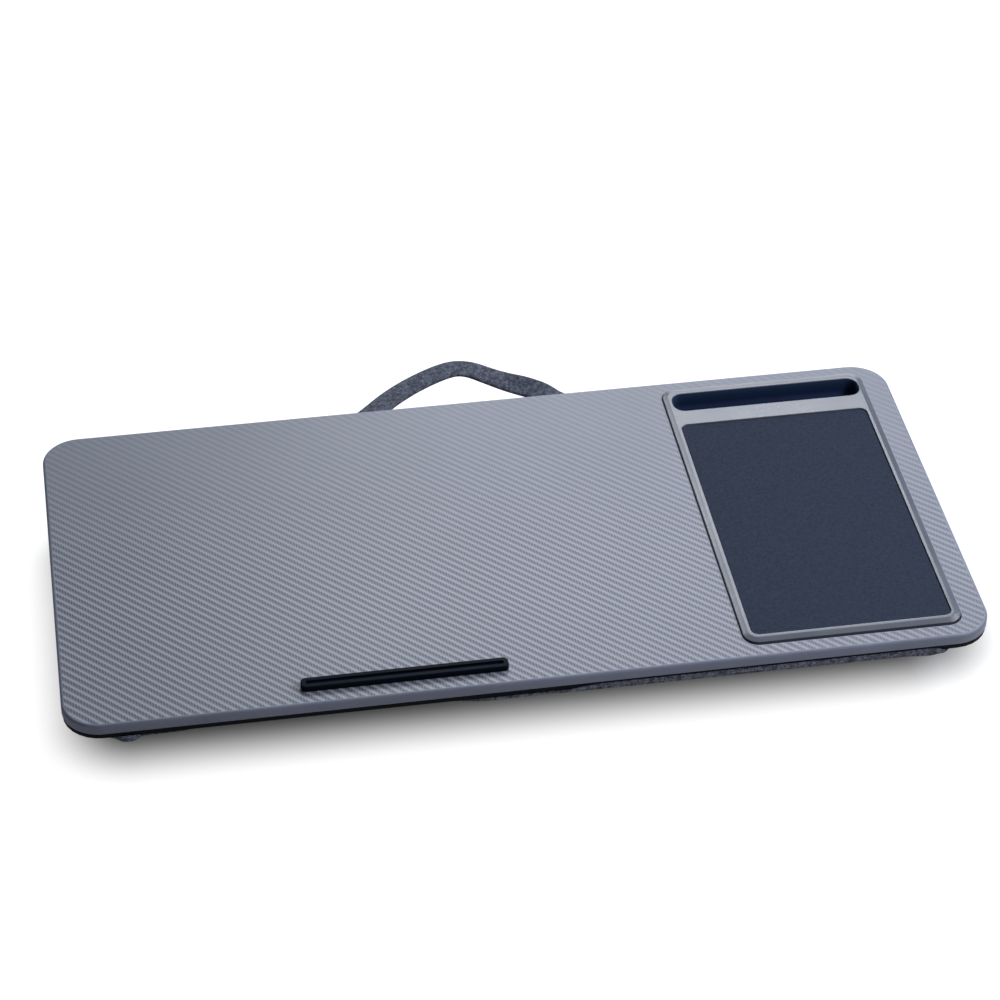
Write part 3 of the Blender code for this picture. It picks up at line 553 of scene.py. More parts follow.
@dataclass
class Board:
    """The film-wrapped board with its tray opening and the channels for the strap's tails."""

    width: float = BOARD_WIDTH
    depth: float = BOARD_DEPTH
    corner: float = 0.0235
    top_round: float = 0.0018
    bottom_round: float = 0.0006
    opening_slit: float = 0.0002
    opening_round: float = 0.0003
    opening_flat: float = 0.00055
    mouths: tuple[Pair, Pair] = ((-0.0801, -0.0546), (0.0482, 0.0737))
    channel_shift: float = 0.0387
    channel_depth: float = 0.0320
    channel_height: float = 0.0029
    channel_zone: Pair = (0.12, 0.13)
    last_column: float = 0.2
    wall: float = 0.00002
    arc_steps: int = 24

    def outline(self) -> RoundedRectangle:
        """Return the board's outline, with points at the back where the channels' walls stand."""
        shares = [self.back_columns(), *even_shares(6)[1:]]
        return RoundedRectangle((0.0, LEVELS.board_y), self.width, self.depth, (self.corner,) * 4,
                                self.arc_steps, shares)

    def back_columns(self) -> Array:
        """Return the shares along the back side where the channels' walls stand, and some between."""
        marks = [0.0]
        for place in (*self.channel_zone, self.last_column):
            marks += [-place, place]
        for start, end in self.mouths:
            marks += [start - self.wall, start, end, end + self.wall]
        run = self.width - 2 * self.corner
        return 0.5 - np.sort(marks)[::-1] / run

    def build(self, opening: RoundedRectangle) -> Piece:
        """Build the board as rings from the opening's lower edge, over the top and round to the underside.

        Args:
            opening: The tray's outline.

        Returns:
            The board.
        """
        rim = self.outline()
        hole = replace(opening.grown(self.opening_slit), arc_steps=rim.arc_steps, shares=rim.shares)
        bottom, top = LEVELS.panel_bottom, LEVELS.panel_top
        edge, foot = quarter_round(self.opening_round, 3)[::-1], quarter_round(self.bottom_round, 3)[::-1]
        wall = [hole.ring(0, bottom)] + [hole.ring(inset, top - drop) for inset, drop in edge]
        flat = [hole.ring(self.opening_flat, top), rim.ring(-self.top_round - FLAT_MARGIN, top)]
        side = [rim.ring(-inset, top - drop) for inset, drop in quarter_round(self.top_round, 7)]
        side += [self.lifted(rim.ring(-inset, bottom + drop)) for inset, drop in foot]
        under, floor = self.channels(side[-1])
        skin = Skin()
        skin.add_rings(wall[:3], tint=2)
        skin.add_rings(wall[2:] + [flat[0]], tint=1)
        skin.add_rings(flat)
        skin.add_rings([flat[1], *side, under], tint=1)
        skin.add_rings([under, floor], tint=2)
        skin.add_pierced(floor, wall[0], tint=2)
        film = WovenFilm().material()
        edge_film = MouldedPlastic("edge_film", (0.218, 0.234, 0.312), (0.257, 0.276, 0.362), specular=0.35)
        core = MouldedPlastic("board_core", (0.012, 0.012, 0.013), (0.024, 0.022, 0.021), 0.80, 700.0,
                              0.0002, 0.15)
        piece = skin.build("board_panel", (film, edge_film.material(), core.material()))
        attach(piece, "board")
        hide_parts("top_panel")
        return piece

    def channels(self, rim: Array) -> tuple[Array, Array]:
        """Return the channels' ceiling and floor: the underside's rim, carried forward between the channels.

        Args:
            rim: The lowest ring of the board's side.

        Returns:
            The moved ring, and the same ring on the underside.
        """
        (left_far, left_near), (right_near, right_far) = self.mouths
        shift = self.channel_shift
        near, far = self.channel_zone
        spread = near + 0.0005
        marks = [-1, -far, -near, left_far, left_near, right_near, right_far, near, far, 1]
        moved = [-1, -far, -spread, left_far - shift, left_near - shift, right_near + shift,
                 right_far + shift, spread, far, 1]
        under = rim.copy()
        at_back = under[:, 1] > LEVELS.board_y + self.depth / 2 - 2 * self.bottom_round
        inside = at_back & (np.abs(under[:, 0]) < (near + far) / 2)
        under[:, 0] = np.where(inside, np.interp(under[:, 0], marks, moved), under[:, 0])
        under[:, 1] -= np.where(inside, self.channel_depth, 0)
        floor = under.copy()
        floor[:, 2] = LEVELS.panel_bottom
        floor[:, 1] -= np.where(inside, self.wall, 0)
        return under, floor

    def lifted(self, ring: Array) -> Array:
        """Return a ring raised to the channels' ceiling where it crosses a channel's mouth."""
        slack = self.wall / 2
        in_mouth = np.zeros(len(ring), bool)
        for start, end in self.mouths:
            in_mouth |= (ring[:, 0] > start - slack) & (ring[:, 0] < end + slack)
        in_mouth &= ring[:, 1] > LEVELS.board_y + self.depth / 2 - self.corner / 2
        ceiling = LEVELS.panel_bottom + self.channel_height
        out = ring.copy()
        out[:, 2] = np.where(in_mouth, np.maximum(ring[:, 2], ceiling), ring[:, 2])
        return out


@dataclass
class Tray:
    """The moulded tray with a sloped shoulder, the pad's recess and the phone slot, and what lies in it."""

    centre_x: float = 0.1955
    width: float = 0.1354
    front: float = -0.1291
    back: float = 0.1305
    corner: float = 0.0095
    shoulder_width: float = 0.0037
    front_shoulder: float = 0.0048
    shoulder_drop: float = 0.0010
    shoulder_step: Pair = (0.0004, 0.0003)
    side_rim: float = 0.0050
    front_rim: float = 0.0065
    front_lean: float = 0.0010
    bridge: float = 0.0129
    slot_width: float = 0.0191
    slot_back_rim: float = 0.0067
    slot_left_rim: float = 0.0052
    slot_right_rim: float = 0.0041
    slot_corner: float = 0.0078
    recess_corner: float = 0.0055
    recess_round: float = 0.0004
    window_inset: float = 0.0006
    window_back: float = 0.0017
    window_height: float = 0.0013
    slot_round: float = 0.0002
    pad_gap: float = 0.0002
    pad_rise: float = 0.0026
    pad_round: float = 0.0005
    cloth_thickness: float = 0.0006
    liner_drop: float = 0.0003
    arc_steps: int = 14

    @property
    def recess_back(self) -> float:
        """Return the depth at which the pad's recess ends."""
        return self.back - self.slot_back_rim - self.slot_width - self.bridge

    def slab(self, left: float, right: float, front: float, back: float,
             radii: tuple[float, ...]) -> RoundedRectangle:
        """Return an outline between two insets from the tray's sides and two depths of the board."""
        centre = (self.centre_x + (left - right) / 2, LEVELS.board_y + (front + back) / 2)
        return RoundedRectangle(centre, self.width - left - right, back - front, radii, self.arc_steps,
                                even_shares(10))

    def outline(self) -> RoundedRectangle:
        """Return the tray's outline."""
        return self.slab(0, 0, self.front, self.back, (self.corner,) * 4)

    def slot(self) -> RoundedRectangle:
        """Return the phone slot's outline."""
        back = self.back - self.slot_back_rim
        return self.slab(self.slot_left_rim, self.slot_right_rim, back - self.slot_width, back,
                         (self.slot_corner,) * 4)

    def recess(self) -> RoundedRectangle:
        """Return the pad recess's outline."""
        return self.slab(self.side_rim, self.side_rim, self.front + self.front_rim, self.recess_back,
                         (self.recess_corner,) * 4)

    def window(self) -> RoundedRectangle:
        """Return the outline of the lip over the recess, which frames the pad's cloth."""
        inset = self.side_rim + self.window_inset
        return self.slab(inset, inset, self.front + self.front_rim + self.window_inset,
                         self.recess_back - self.window_back, (self.recess_corner - self.window_inset,) * 4)

    def shoulder(self, inset: float, lean: float = 0.0) -> RoundedRectangle:
        """Return the outline drawn in by an inset, and by more at the front, where the shoulder is wider.

        Args:
            inset: How far the sides are drawn in.
            lean: How much further the front is drawn in.

        Returns:
            The outline.
        """
        front = inset * self.front_shoulder / self.shoulder_width + lean
        return self.slab(inset, inset, self.front + front, self.back - inset, (self.corner - inset,) * 4)

    def build(self) -> Piece:
        """Build the tray: outer wall and shoulder, flat top in two parts, recess, slot and underside. The
        wall's lowest rings carry painted shade.
        """
        top, bottom = LEVELS.tray_top, LEVELS.panel_bottom
        outline, slot, recess, window = self.outline(), self.slot(), self.recess(), self.window()
        low = top - self.shoulder_drop
        step_in, step_up = self.shoulder_step
        inset, lean = self.shoulder_width, self.front_lean
        wall = [(0.0, 0.0, bottom), (0.0, 0.0, LEVELS.panel_top - 0.0002), (0.0, lean, low - 0.0002),
                (0.00006, lean, low - 0.00008), (0.0002, lean, low), (step_in, lean, low + step_up * 0.55),
                (step_in + 0.0003, lean, low + step_up * 0.8)]
        slope = [(step_in + 0.0006, lean * 0.8, low + step_up), (inset - 0.0005, 0.0, top - 0.00012),
                 (inset - 0.0002, 0.0, top - 0.00003), (inset, 0.0, top)]
        skin = Skin()
        side = [self.shoulder(by, more).ring(0, height) for by, more, height in wall + slope]
        # painted shade: the wall's lowest rings, by the slit round the tray, take a darker copy of the tray's
        # plastic
        skin.add_rings(side[:4], tint=1)
        skin.add_rings(side[3:])
        radius, tiny = self.corner - inset, 1e-7
        middle = self.recess_back + self.bridge / 2
        fore = self.slab(inset, inset, self.front + self.front_shoulder, middle, (tiny, tiny, radius, radius))
        aft = self.slab(inset, inset, middle, self.back - inset, (radius, radius, tiny, tiny))
        under = top - self.window_height
        below = [shape.ring(0, height)
                 for shape, height in ((window, under), (recess, under), (recess, LEVELS.recess_floor))]
        for plate, hole, inner, lip in ((fore, window, below, self.recess_round),
                                        (aft, slot, [slot.ring(0, bottom)], self.slot_round)):
            lips = [hole.ring(drop_in, top - drop) for drop_in, drop in quarter_round(lip, 4)]
            skin.add_rings([plate.ring(0, top), hole.ring(lip + FLAT_MARGIN, top), *lips, *inner])
        skin.add_cap(below[-1])
        skin.add_rings([slot.ring(0, bottom), outline.ring(0, bottom)])
        finish = MouldedPlastic("tray_plastic", (0.113, 0.126, 0.154), (0.139, 0.153, 0.185), 0.30,
                                grain_depth=0.00001, specular=0.43)
        # painted shade: a dark copy of the tray's plastic for the wall by the slit
        edge = MouldedPlastic("tray_wall_painted_shade", (0.024, 0.030, 0.044), (0.036, 0.043, 0.060), 0.60, specular=0.2)
        piece = skin.build("tray", (finish.material(), edge.material()), 30.0)
        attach(piece, "board")
        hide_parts("tray_insert")
        return piece

    def build_liner(self) -> Piece:
        """Build the slot's liner cup as rings from its underside, round the rim, down to its floor."""
        slot = self.slot()
        bottom, top, seat = LEVELS.sheet_bottom, LEVELS.tray_top - self.liner_drop, LEVELS.panel_bottom
        profile = [(-0.0006, bottom), (-0.0003, bottom + 0.0003), (-0.0003, seat), (0.0025, seat),
                   (0.0025, seat + 0.0012), (-0.0003, seat + 0.0012), (-0.0003, top), (-0.0005, top),
                   (-0.0007, top - 0.0004), (-0.0010, top - 0.0030), (-0.0015, bottom + 0.0045),
                   (-0.0022, bottom + 0.0026), (-0.0036, bottom + 0.0015), (-0.0056, bottom + 0.0012)]
        skin = Skin.tube([slot.ring(by, height) for by, height in profile])
        piece = skin.build("liner_cup", (LinerPlastic().material(),), 40.0)
        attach(piece, "board")
        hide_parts("phone_well")
        return piece

    def build_pad(self) -> Piece:
        """Build the pad's cloth face with a soft edge."""
        shape = self.window().grown(-self.pad_gap)
        base = LEVELS.recess_floor + self.pad_rise
        top = base + self.cloth_thickness
        profile = [(-inset, top - drop) for inset, drop in quarter_round(self.pad_round, 4)]
        profile = [(0.0, base), *profile[::-1], (-self.pad_round - 0.0004, top)]
        skin = Skin.tube([shape.ring(by, height) for by, height in profile])
        cloth = HeatherCloth("pad_cloth", (0.017, 0.026, 0.049), (0.040, 0.057, 0.100), Weave.KNIT, 0.6,
                             sheen=0.03)
        piece = skin.build("pad_face", (cloth.material(),), 60.0)
        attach(piece, "board")
        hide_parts("mouse_pad_cloth")
        return piece


@dataclass
class Ledge:
    """The stop ledge: a round-ended black bar with a shallow trough along its top."""

    centre: Pair = (-0.0776, -0.12455)
    length: float = 0.1240
    depth: float = 0.0089
    height: float = 0.0034
    corner: float = 0.0032
    top_round: float = 0.0007
    trough_width: float = 0.0026
    trough_depth: float = 0.0013
    trough_margin: float = 0.0030
    trough_lip: float = 0.0004
    trough_round: float = 0.0003
    foot_gap: float = 0.0001

    def build(self) -> Piece:
        """Build the bar as rings from its foot over its round top edge and down into the trough."""
        centre = (self.centre[0], self.centre[1] + LEVELS.board_y)
        bar = RoundedRectangle(centre, self.length, self.depth, (self.corner,) * 4, 10, even_shares(8))
        half = self.trough_width / 2 - 0.0001
        trough = replace(bar, width=self.length - 2 * self.trough_margin, depth=self.trough_width,
                         radii=(half,) * 4)
        foot, top = LEVELS.panel_top + self.foot_gap, LEVELS.panel_top + FIT + self.height
        rings = [bar.ring(0, foot)]
        rings += [bar.ring(-inset, top - drop) for inset, drop in quarter_round(self.top_round, 5)[::-1]]
        rings += [bar.ring(-self.top_round - 0.0001, top), trough.ring(self.trough_lip, top)]
        rings += [trough.ring(inset, top - drop) for inset, drop in quarter_round(self.trough_round, 3)]
        rings += [trough.ring(0, top - self.trough_depth)]
        skin = Skin.tube(rings)
        finish = MouldedPlastic("ledge_plastic", (0.0036, 0.0068, 0.0135), (0.0054, 0.0095, 0.0180), 0.50,
                                specular=0.035)
        piece = skin.build("stop_ledge", (finish.material(),), 35.0)
        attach(piece, "board")
        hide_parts("device_ledge")
        return piece


@dataclass
class Strap:
    """The cloth strap handle: a flat band that leaves the board, loops behind it and comes back.

    Its guides lie in the loop's own flat plane, the second number being the distance behind the
    hinge. The right leg is turned about its own line, so that its outer edge stands up.
    """

    guides: tuple[Pair, ...] = (
        (-0.0981, -0.0271), (-0.0785, -0.0110), (-0.0651, 0.0002), (-0.0575, 0.0074), (-0.0492, 0.0149),
        (-0.0373, 0.0238), (-0.0248, 0.0313), (-0.0126, 0.0372), (-0.0015, 0.0400), (0.0085, 0.0370),
        (0.0190, 0.0292), (0.0300, 0.0215), (0.0411, 0.0151), (0.0520, 0.0075), (0.0590, 0.0000),
        (0.0721, -0.0110), (0.0917, -0.0271))
    band: float = 0.0152
    thickness: float = 0.0026
    fullness: float = 0.93
    edge_ridge: Triple = (0.10, 0.86, 0.08)
    tilt: float = math.radians(4.0)
    twist: float = math.radians(17.0)
    twist_place: Pair = (0.042, 0.016)
    bend: float = 0.006
    hinge_y: float = 0.1416
    hinge_z: float = 0.0469
    stations: int = 200
    smoothings: int = 12

    def centreline(self) -> Array:
        """Return the band's middle, evenly spaced and smoothed, from one tail's end to the other's."""
        path = curve_through(self.guides, 30)
        length = np.concatenate([[0], np.cumsum(np.linalg.norm(np.diff(path, axis=0), axis=1))])
        even = np.linspace(0, length[-1], self.stations)
        line = np.column_stack([np.interp(even, length, path[:, axis]) for axis in (0, 1)])
        for _ in range(self.smoothings):
            line[1:-1] = (line[:-2] + 2 * line[1:-1] + line[2:]) / 4
        return line

    def section(self) -> Array:
        """Return the band's section as (across, up) shares of its half sizes, with fuller edges."""
        angle = np.linspace(0, 2 * math.pi, 48, endpoint=False)
        return np.column_stack([signed_power(np.cos(angle), 0.35), signed_power(np.sin(angle), 0.55)])

    def build(self) -> Piece:
        """Build the band by carrying its section along the line, and let it bend at the board's edge."""
        middle = self.centreline()
        ahead = np.gradient(middle, axis=0)
        ahead /= np.linalg.norm(ahead, axis=1)[:, None]
        outward = np.column_stack([-ahead[:, 1], ahead[:, 0]])
        section = self.section()
        across = section[:, 0] * self.band / 2
        height, place, width = self.edge_ridge
        ridge = 1 + height * hump(np.abs(section[:, 0]), place, width)
        up = section[:, 1] * self.thickness / 2 * self.fullness * ridge
        turn = self.twist * hump(middle[:, 0], *self.twist_place) * smooth(middle[:, 1], 0.0, 0.008)
        shift = across * np.cos(turn)[:, None] - up * np.sin(turn)[:, None]
        rise = across * np.sin(turn)[:, None] + up * np.cos(turn)[:, None]
        plan = middle[:, None] + outward[:, None] * shift[..., None]
        behind = np.maximum(plan[..., 1], 0)
        lean = smooth(plan[..., 1], 0.0, self.bend)
        heights = self.hinge_z + behind * math.sin(self.tilt) + rise
        depths = (LEVELS.board_y + self.hinge_y + plan[..., 1] - behind * (1 - math.cos(self.tilt))
                  - rise * lean * math.sin(self.tilt))
        skin = Skin.tube(np.stack([plan[..., 0], depths, heights], -1))
        cloth = HeatherCloth("strap_cloth", (0.009, 0.013, 0.028), (0.205, 0.228, 0.300), Weave.WEBBING,
                             0.80, 1300.0)
        piece = skin.build("strap", (cloth.material(),), 70.0)
        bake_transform(piece)
        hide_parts("handle_strap", "handle_tail_left", "handle_tail_right")
        return piece


@dataclass
class Cushion:
    """One stuffed bolster under the board, with the hem that holds its cover under the sheet.

    Along the front the hem is puffed out in places, past the sheet's edge and up against it.
    """

    side: int
    height: float = 0.0419
    side_inset: float = 0.0170
    front_inset: float = 0.0270
    valley: float = 0.0180
    draw_in: float = 0.0040
    top_press: float = 0.0085
    foot_press: float = 0.0005
    widest: float = 0.47
    plan_power: float = 5.0
    section_power: float = 3.0
    slack: float = 0.0030
    voxel: float = 0.005
    pressure: float = 4.0
    last_frame: int = 20
    most_swell: float = 0.0055
    seam_level: float = 0.0200
    hem_inset: float = 0.0025
    hem_half: float = 0.0006
    hem_corner: float = 0.0210
    seam_depth: float = 0.0016
    pucker_depth: float = 0.0007
    drape_depth: float = 0.0008
    sag_depth: float = 0.0005
    lip: float = 0.0045
    climb_back: float = 0.0022
    hem_reach: float = 0.0030
    hem_swell: float = 0.0013
    rim_margin: float = 0.008
    ripple: float = 0.00012

    def size(self) -> Triple:
        """Return the bolster's width and depth and its middle's X."""
        width = BOARD_WIDTH / 2 - self.side_inset - self.valley / 2
        return width, BOARD_DEPTH - 2 * self.front_inset, self.side * (width + self.valley) / 2

    def build(self, finish: Finish) -> Piece:
        """Build the bolster and its hem as one piece."""
        label = "left" if self.side < 0 else "right"
        points, quads = self.bolster()
        skin = Skin()
        skin.add_faces(points, quads)
        skin.add_rings(self.hem(), closed=True)
        piece = skin.build(f"cushion_{label}", (finish,), 180.0)
        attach(piece, "board")
        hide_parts(f"{label}_cushion_cover", f"{label}_cushion_filling")
        return piece

    def bolster(self) -> tuple[Array, Array]:
        """Return the bolster's points and quads: swollen as cloth, pressed flat, with a drawn-in seam."""
        skin = Skin()
        skin.add_rings(self.rings())
        draft = skin.build("bolster_draft", (), 180.0)
        self.bake(draft, "REMESH", mode="VOXEL", voxel_size=self.voxel)
        self.swell(draft)
        points = self.points_of(draft)
        points[:, 2] = np.clip(points[:, 2], 0.0, self.height)
        draft.data.vertices.foreach_set("co", points.ravel())
        self.bake(draft, "SUBSURF", levels=1, render_levels=1)
        points = self.sewn(self.points_of(draft))
        quads = np.zeros(len(draft.data.polygons) * 4, np.int32)
        draft.data.polygons.foreach_get("vertices", quads)
        bpy.data.objects.remove(draft, do_unlink=True)
        return points, quads.reshape(-1, 4)

    def rings(self) -> Array:
        """Return the slack bolster as rings from its foot to its top.

        In plan it is a superellipse whose sides draw in between the corners, and so is its section.
        """
        width, depth, offset = self.size()
        angle = np.linspace(0, 2 * math.pi, 160, endpoint=False)[None]
        lift = np.linspace(-math.pi / 2, math.pi / 2, 49)[:, None]
        plan, section = 2 / self.plan_power, 2 / self.section_power
        across, along = signed_power(np.cos(angle), plan), signed_power(np.sin(angle), plan)
        half_width = width / 2 - self.slack - self.draw_in * (1 - along ** 2)
        half_depth = depth / 2 - self.slack - self.draw_in * (1 - across ** 2)
        spread = np.maximum(np.cos(lift), 0) ** section
        middle = self.height * self.widest
        rise = np.abs(np.sin(lift)) ** section
        up = self.height - middle + self.top_press
        down = middle + self.foot_press
        level = np.clip(middle + np.where(lift > 0, rise * up, -rise * down), 0.001, self.height - 0.001)
        places = (across * half_width * spread + offset, along * half_depth * spread + LEVELS.board_y, level)
        return np.stack(np.broadcast_arrays(*places), -1)

    @staticmethod
    def points_of(item: Piece) -> Array:
        """Return an object's points as it is shaped now, one row each."""
        mesh = item.evaluated_get(bpy.context.evaluated_depsgraph_get()).data
        flat = np.zeros(len(mesh.vertices) * 3, np.float32)
        mesh.vertices.foreach_get("co", flat)
        return flat.reshape(-1, 3).astype(float)

    @staticmethod
    def bake(item: Piece, kind: str, **settings: object) -> None:
        """Give an object a modifier and apply it."""
        modifier = item.modifiers.new(kind.lower(), kind)
        for name, value in settings.items():
            setattr(modifier, name, value)
        bpy.context.view_layer.update()
        graph = bpy.context.evaluated_depsgraph_get()
        mesh = bpy.data.meshes.new_from_object(item.evaluated_get(graph))
        item.modifiers.clear()
        item.data = mesh

    def swell(self, item: Piece) -> None:
        """Puff a closed mesh as cloth under pressure, and cap how far each point moves."""
        start = self.points_of(item)
        modifier = item.modifiers.new("swell", "CLOTH")
        cloth = modifier.settings
        cloth.quality = 5
        cloth.use_pressure = True
        cloth.uniform_pressure_force = self.pressure
        cloth.effector_weights.gravity = 0.0
        scene = bpy.context.scene
        for number in range(1, self.last_frame + 1):
            scene.frame_set(number)
        moved = self.points_of(item) - start
        item.modifiers.clear()
        scene.frame_set(1)
        length = np.linalg.norm(moved, axis=1, keepdims=True)
        start += moved * np.minimum(1.0, self.most_swell / np.maximum(length, WELD))
        item.data.vertices.foreach_set("co", start.ravel())
        item.data.update()

    def sewn(self, points: Array) -> Array:
        """Return points with a seam drawn in round the side, puckered along it, and soft wrinkles.

        The depth is taken towards the bolster's middle. Round the side it is a bell about the
        seam's level, made uneven by a wave along the seam.
        """
        width, depth, offset = self.size()
        plan = points[:, :2] - (offset, LEVELS.board_y)
        reach = np.linalg.norm(plan / (width / 2, depth / 2), axis=1)
        inward = -plan / np.maximum(np.linalg.norm(plan, axis=1), WELD)[:, None]
        around = np.arctan2(plan[:, 1] / depth, plan[:, 0] / width)
        level = points[:, 2] - self.seam_level
        outer = smooth(reach, 0.80, 0.92)
        pucker = 0.5 + 0.5 * np.sin(around * 84 + 1.5 * np.sin(around * 9))
        depth_in = self.seam_depth * hump(level, 0.0, 0.0022)
        depth_in += self.pucker_depth * pucker * hump(level, 0.0, 0.0075)
        drape = self.drape_depth * np.sin(around * 17 + level * 190) * np.sin(around * 5 + 1.0)
        out = points.copy()
        out[:, :2] += inward * ((depth_in + drape * hump(level, 0.002, 0.013)) * outer)[:, None]
        sag = np.sin(plan[:, 0] * 70 + 2 * np.sin(plan[:, 1] * 31)) * np.sin(plan[:, 1] * 55)
        out[:, 2] += (1 - outer) * np.maximum(self.sag_depth * sag, 0) * (points[:, 2] < self.seam_level)
        return out

    def edge_shape(self, loop: Array) -> tuple[Array, Array, Array]:
        """Return how far the hem reaches out, hangs down and climbs at each point of its outline.

        The reach is a share of the way past the sheet's edge. All three are bells and steps along
        the front, made uneven by two waves.
        """
        along = loop[:, 0]
        front = smooth(LEVELS.board_y - loop[:, 1], 0.128, 0.1345)
        wave = 0.5 + 0.3 * np.sin(along * 170 + 1.0) + 0.2 * np.sin(along * 410 + 2.0)
        if self.side > 0:
            reach = (0.55 + 0.30 * smooth(along, 0.0, 0.026)) * (1 - smooth(along, 0.2480, 0.2530))
            climb = 0.0025 * plateau(along, (0.012, 0.040), (0.2430, 0.2500))
            hang = 0.0008 * wave - 0.0009 * plateau(along, (0.010, 0.030), (0.110, 0.160))
            hang -= 0.0005 * smooth(along, 0.110, 0.160)
            hang += 0.0023 * hump(along, 0.2380, 0.0080)
        else:
            far = hump(along, -0.2425, 0.0068)
            near = smooth(along, -0.058, -0.030)
            middle = plateau(along, (-0.244, -0.238), (-0.218, -0.196))
            reach = np.maximum(np.maximum(np.minimum(1.4 * far, 1), 0.38 * middle), 0.75 * near)
            climb = 0.0012 * far
            hang = 0.0021 * far + 0.0004 * near * wave
        return reach * front, hang * front, climb * front

    def hem(self) -> Array:
        """Return the hem as closed rings, from its inner edge out along its underside and back on top."""
        width, depth, offset = self.size()
        near, far = FIT, BOARD_WIDTH / 2 - self.hem_inset
        outer, inner = self.hem_corner, 0.001
        radii = (outer, inner, inner, outer) if self.side > 0 else (inner, outer, outer, inner)
        shares = [even_shares(steps)[0] for steps in (60, 40, 150, 40)]
        loop = RoundedRectangle((self.side * (near + far) / 2, LEVELS.board_y), far - near,
                                BOARD_DEPTH - 2 * self.hem_inset, radii, 10, shares).loop()
        ahead = np.roll(loop, -1, axis=0) - np.roll(loop, 1, axis=0)
        ahead /= np.linalg.norm(ahead, axis=1)[:, None]
        outward = np.column_stack([ahead[:, 1], -ahead[:, 0]])
        root = np.array((offset, LEVELS.board_y))
        spoke = loop - root
        half = np.array([width, depth]) / 2 - self.slack - self.rim_margin
        stretch = (np.abs(spoke / half) ** self.plan_power).sum(1)[:, None]
        rim = root + spoke / stretch ** (1 / self.plan_power)
        reach, hang, climb = self.edge_shape(loop)
        middle = self.height - self.hem_half
        ripple = self.ripple * np.sin(np.arange(len(loop)) * 0.9) * np.sin(np.arange(len(loop)) * 0.23)

        def flap(share: float, height: Array | float) -> Array:
            """Return a ring at a share of the way from the inner rim to the lip."""
            return level_ring(rim + (loop - outward * self.lip - rim) * share, height)

        rings = [flap(share, middle - self.hem_half + ripple * share) for share in (0, 0.5, 1)]
        centre = -self.hem_half + self.hem_reach * reach
        round_out = self.hem_half + self.hem_swell * reach
        for angle in np.radians(np.linspace(-90, 90, 13)):
            out = centre + round_out * math.cos(angle)
            bulge = (hang if angle < 0 else climb) + self.hem_half
            rings.append(level_ring(loop + outward * out[:, None], middle + bulge * math.sin(angle)))
        fold = loop + outward * np.minimum(centre, self.climb_back)[:, None]
        rings += [level_ring(fold, middle + self.hem_half + climb * 0.5), level_ring(fold, self.height)]
        return np.array(rings + [flap(share, self.height) for share in (1, 0)])


@dataclass
class Dressing:
    """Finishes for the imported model's own nodes that stay."""

    def dress(self) -> None:
        """Give the sheet, the pad's base and every screw and nut its material."""
        steel = PlatedSteel().material()
        sheet = MouldedPlastic("black_sheet", (0.0020, 0.0022, 0.0030), (0.0050, 0.0055, 0.0075), 0.60, 900.0,
                               0.0001, 0.15).material()
        rubber = MouldedPlastic("pad_foam", (0.010, 0.010, 0.011), (0.020, 0.020, 0.022), 0.85, 1400.0,
                                0.0001, 0.2).material()
        finishes = {"screw": steel, "nut": steel, "backing_sheet": sheet, "mouse_pad_base": rubber}
        for name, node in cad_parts.items():
            for word, finish in finishes.items():
                if word in name:
                    self.cover(node, finish)

    @staticmethod
    def cover(node: Piece, finish: Finish) -> None:
        """Put one material on all of a node's slots."""
        for slot in node.material_slots:
            slot.material = finish
        if not node.material_slots:
            node.data.materials.append(finish)


@dataclass(frozen=True)
class Lamp:
    """A rectangular lamp, which shines at the board's middle where it has no direction of its own."""

    name: str
    place: Triple
    size: Pair
    watts: float
    facing: Triple | None = None
    colour: Colour = (0.95, 0.99, 1.06)

    def hang(self) -> None:
        """Put the lamp in its place."""
        data = bpy.data.lights.new(self.name, "AREA")
        data.shape = "RECTANGLE"
        data.size, data.size_y = self.size
        data.energy = self.watts
        data.color = self.colour
        lamp = link_piece(self.name, data)
        middle = Vector((0.05, LEVELS.board_y, LEVELS.panel_top))
        facing = Vector(self.facing) if self.facing else middle - Vector(self.place)
        turn = facing.to_track_quat("-Z", "Y").to_matrix().to_4x4()
        lamp.matrix_world = Matrix.Translation(self.place) @ turn


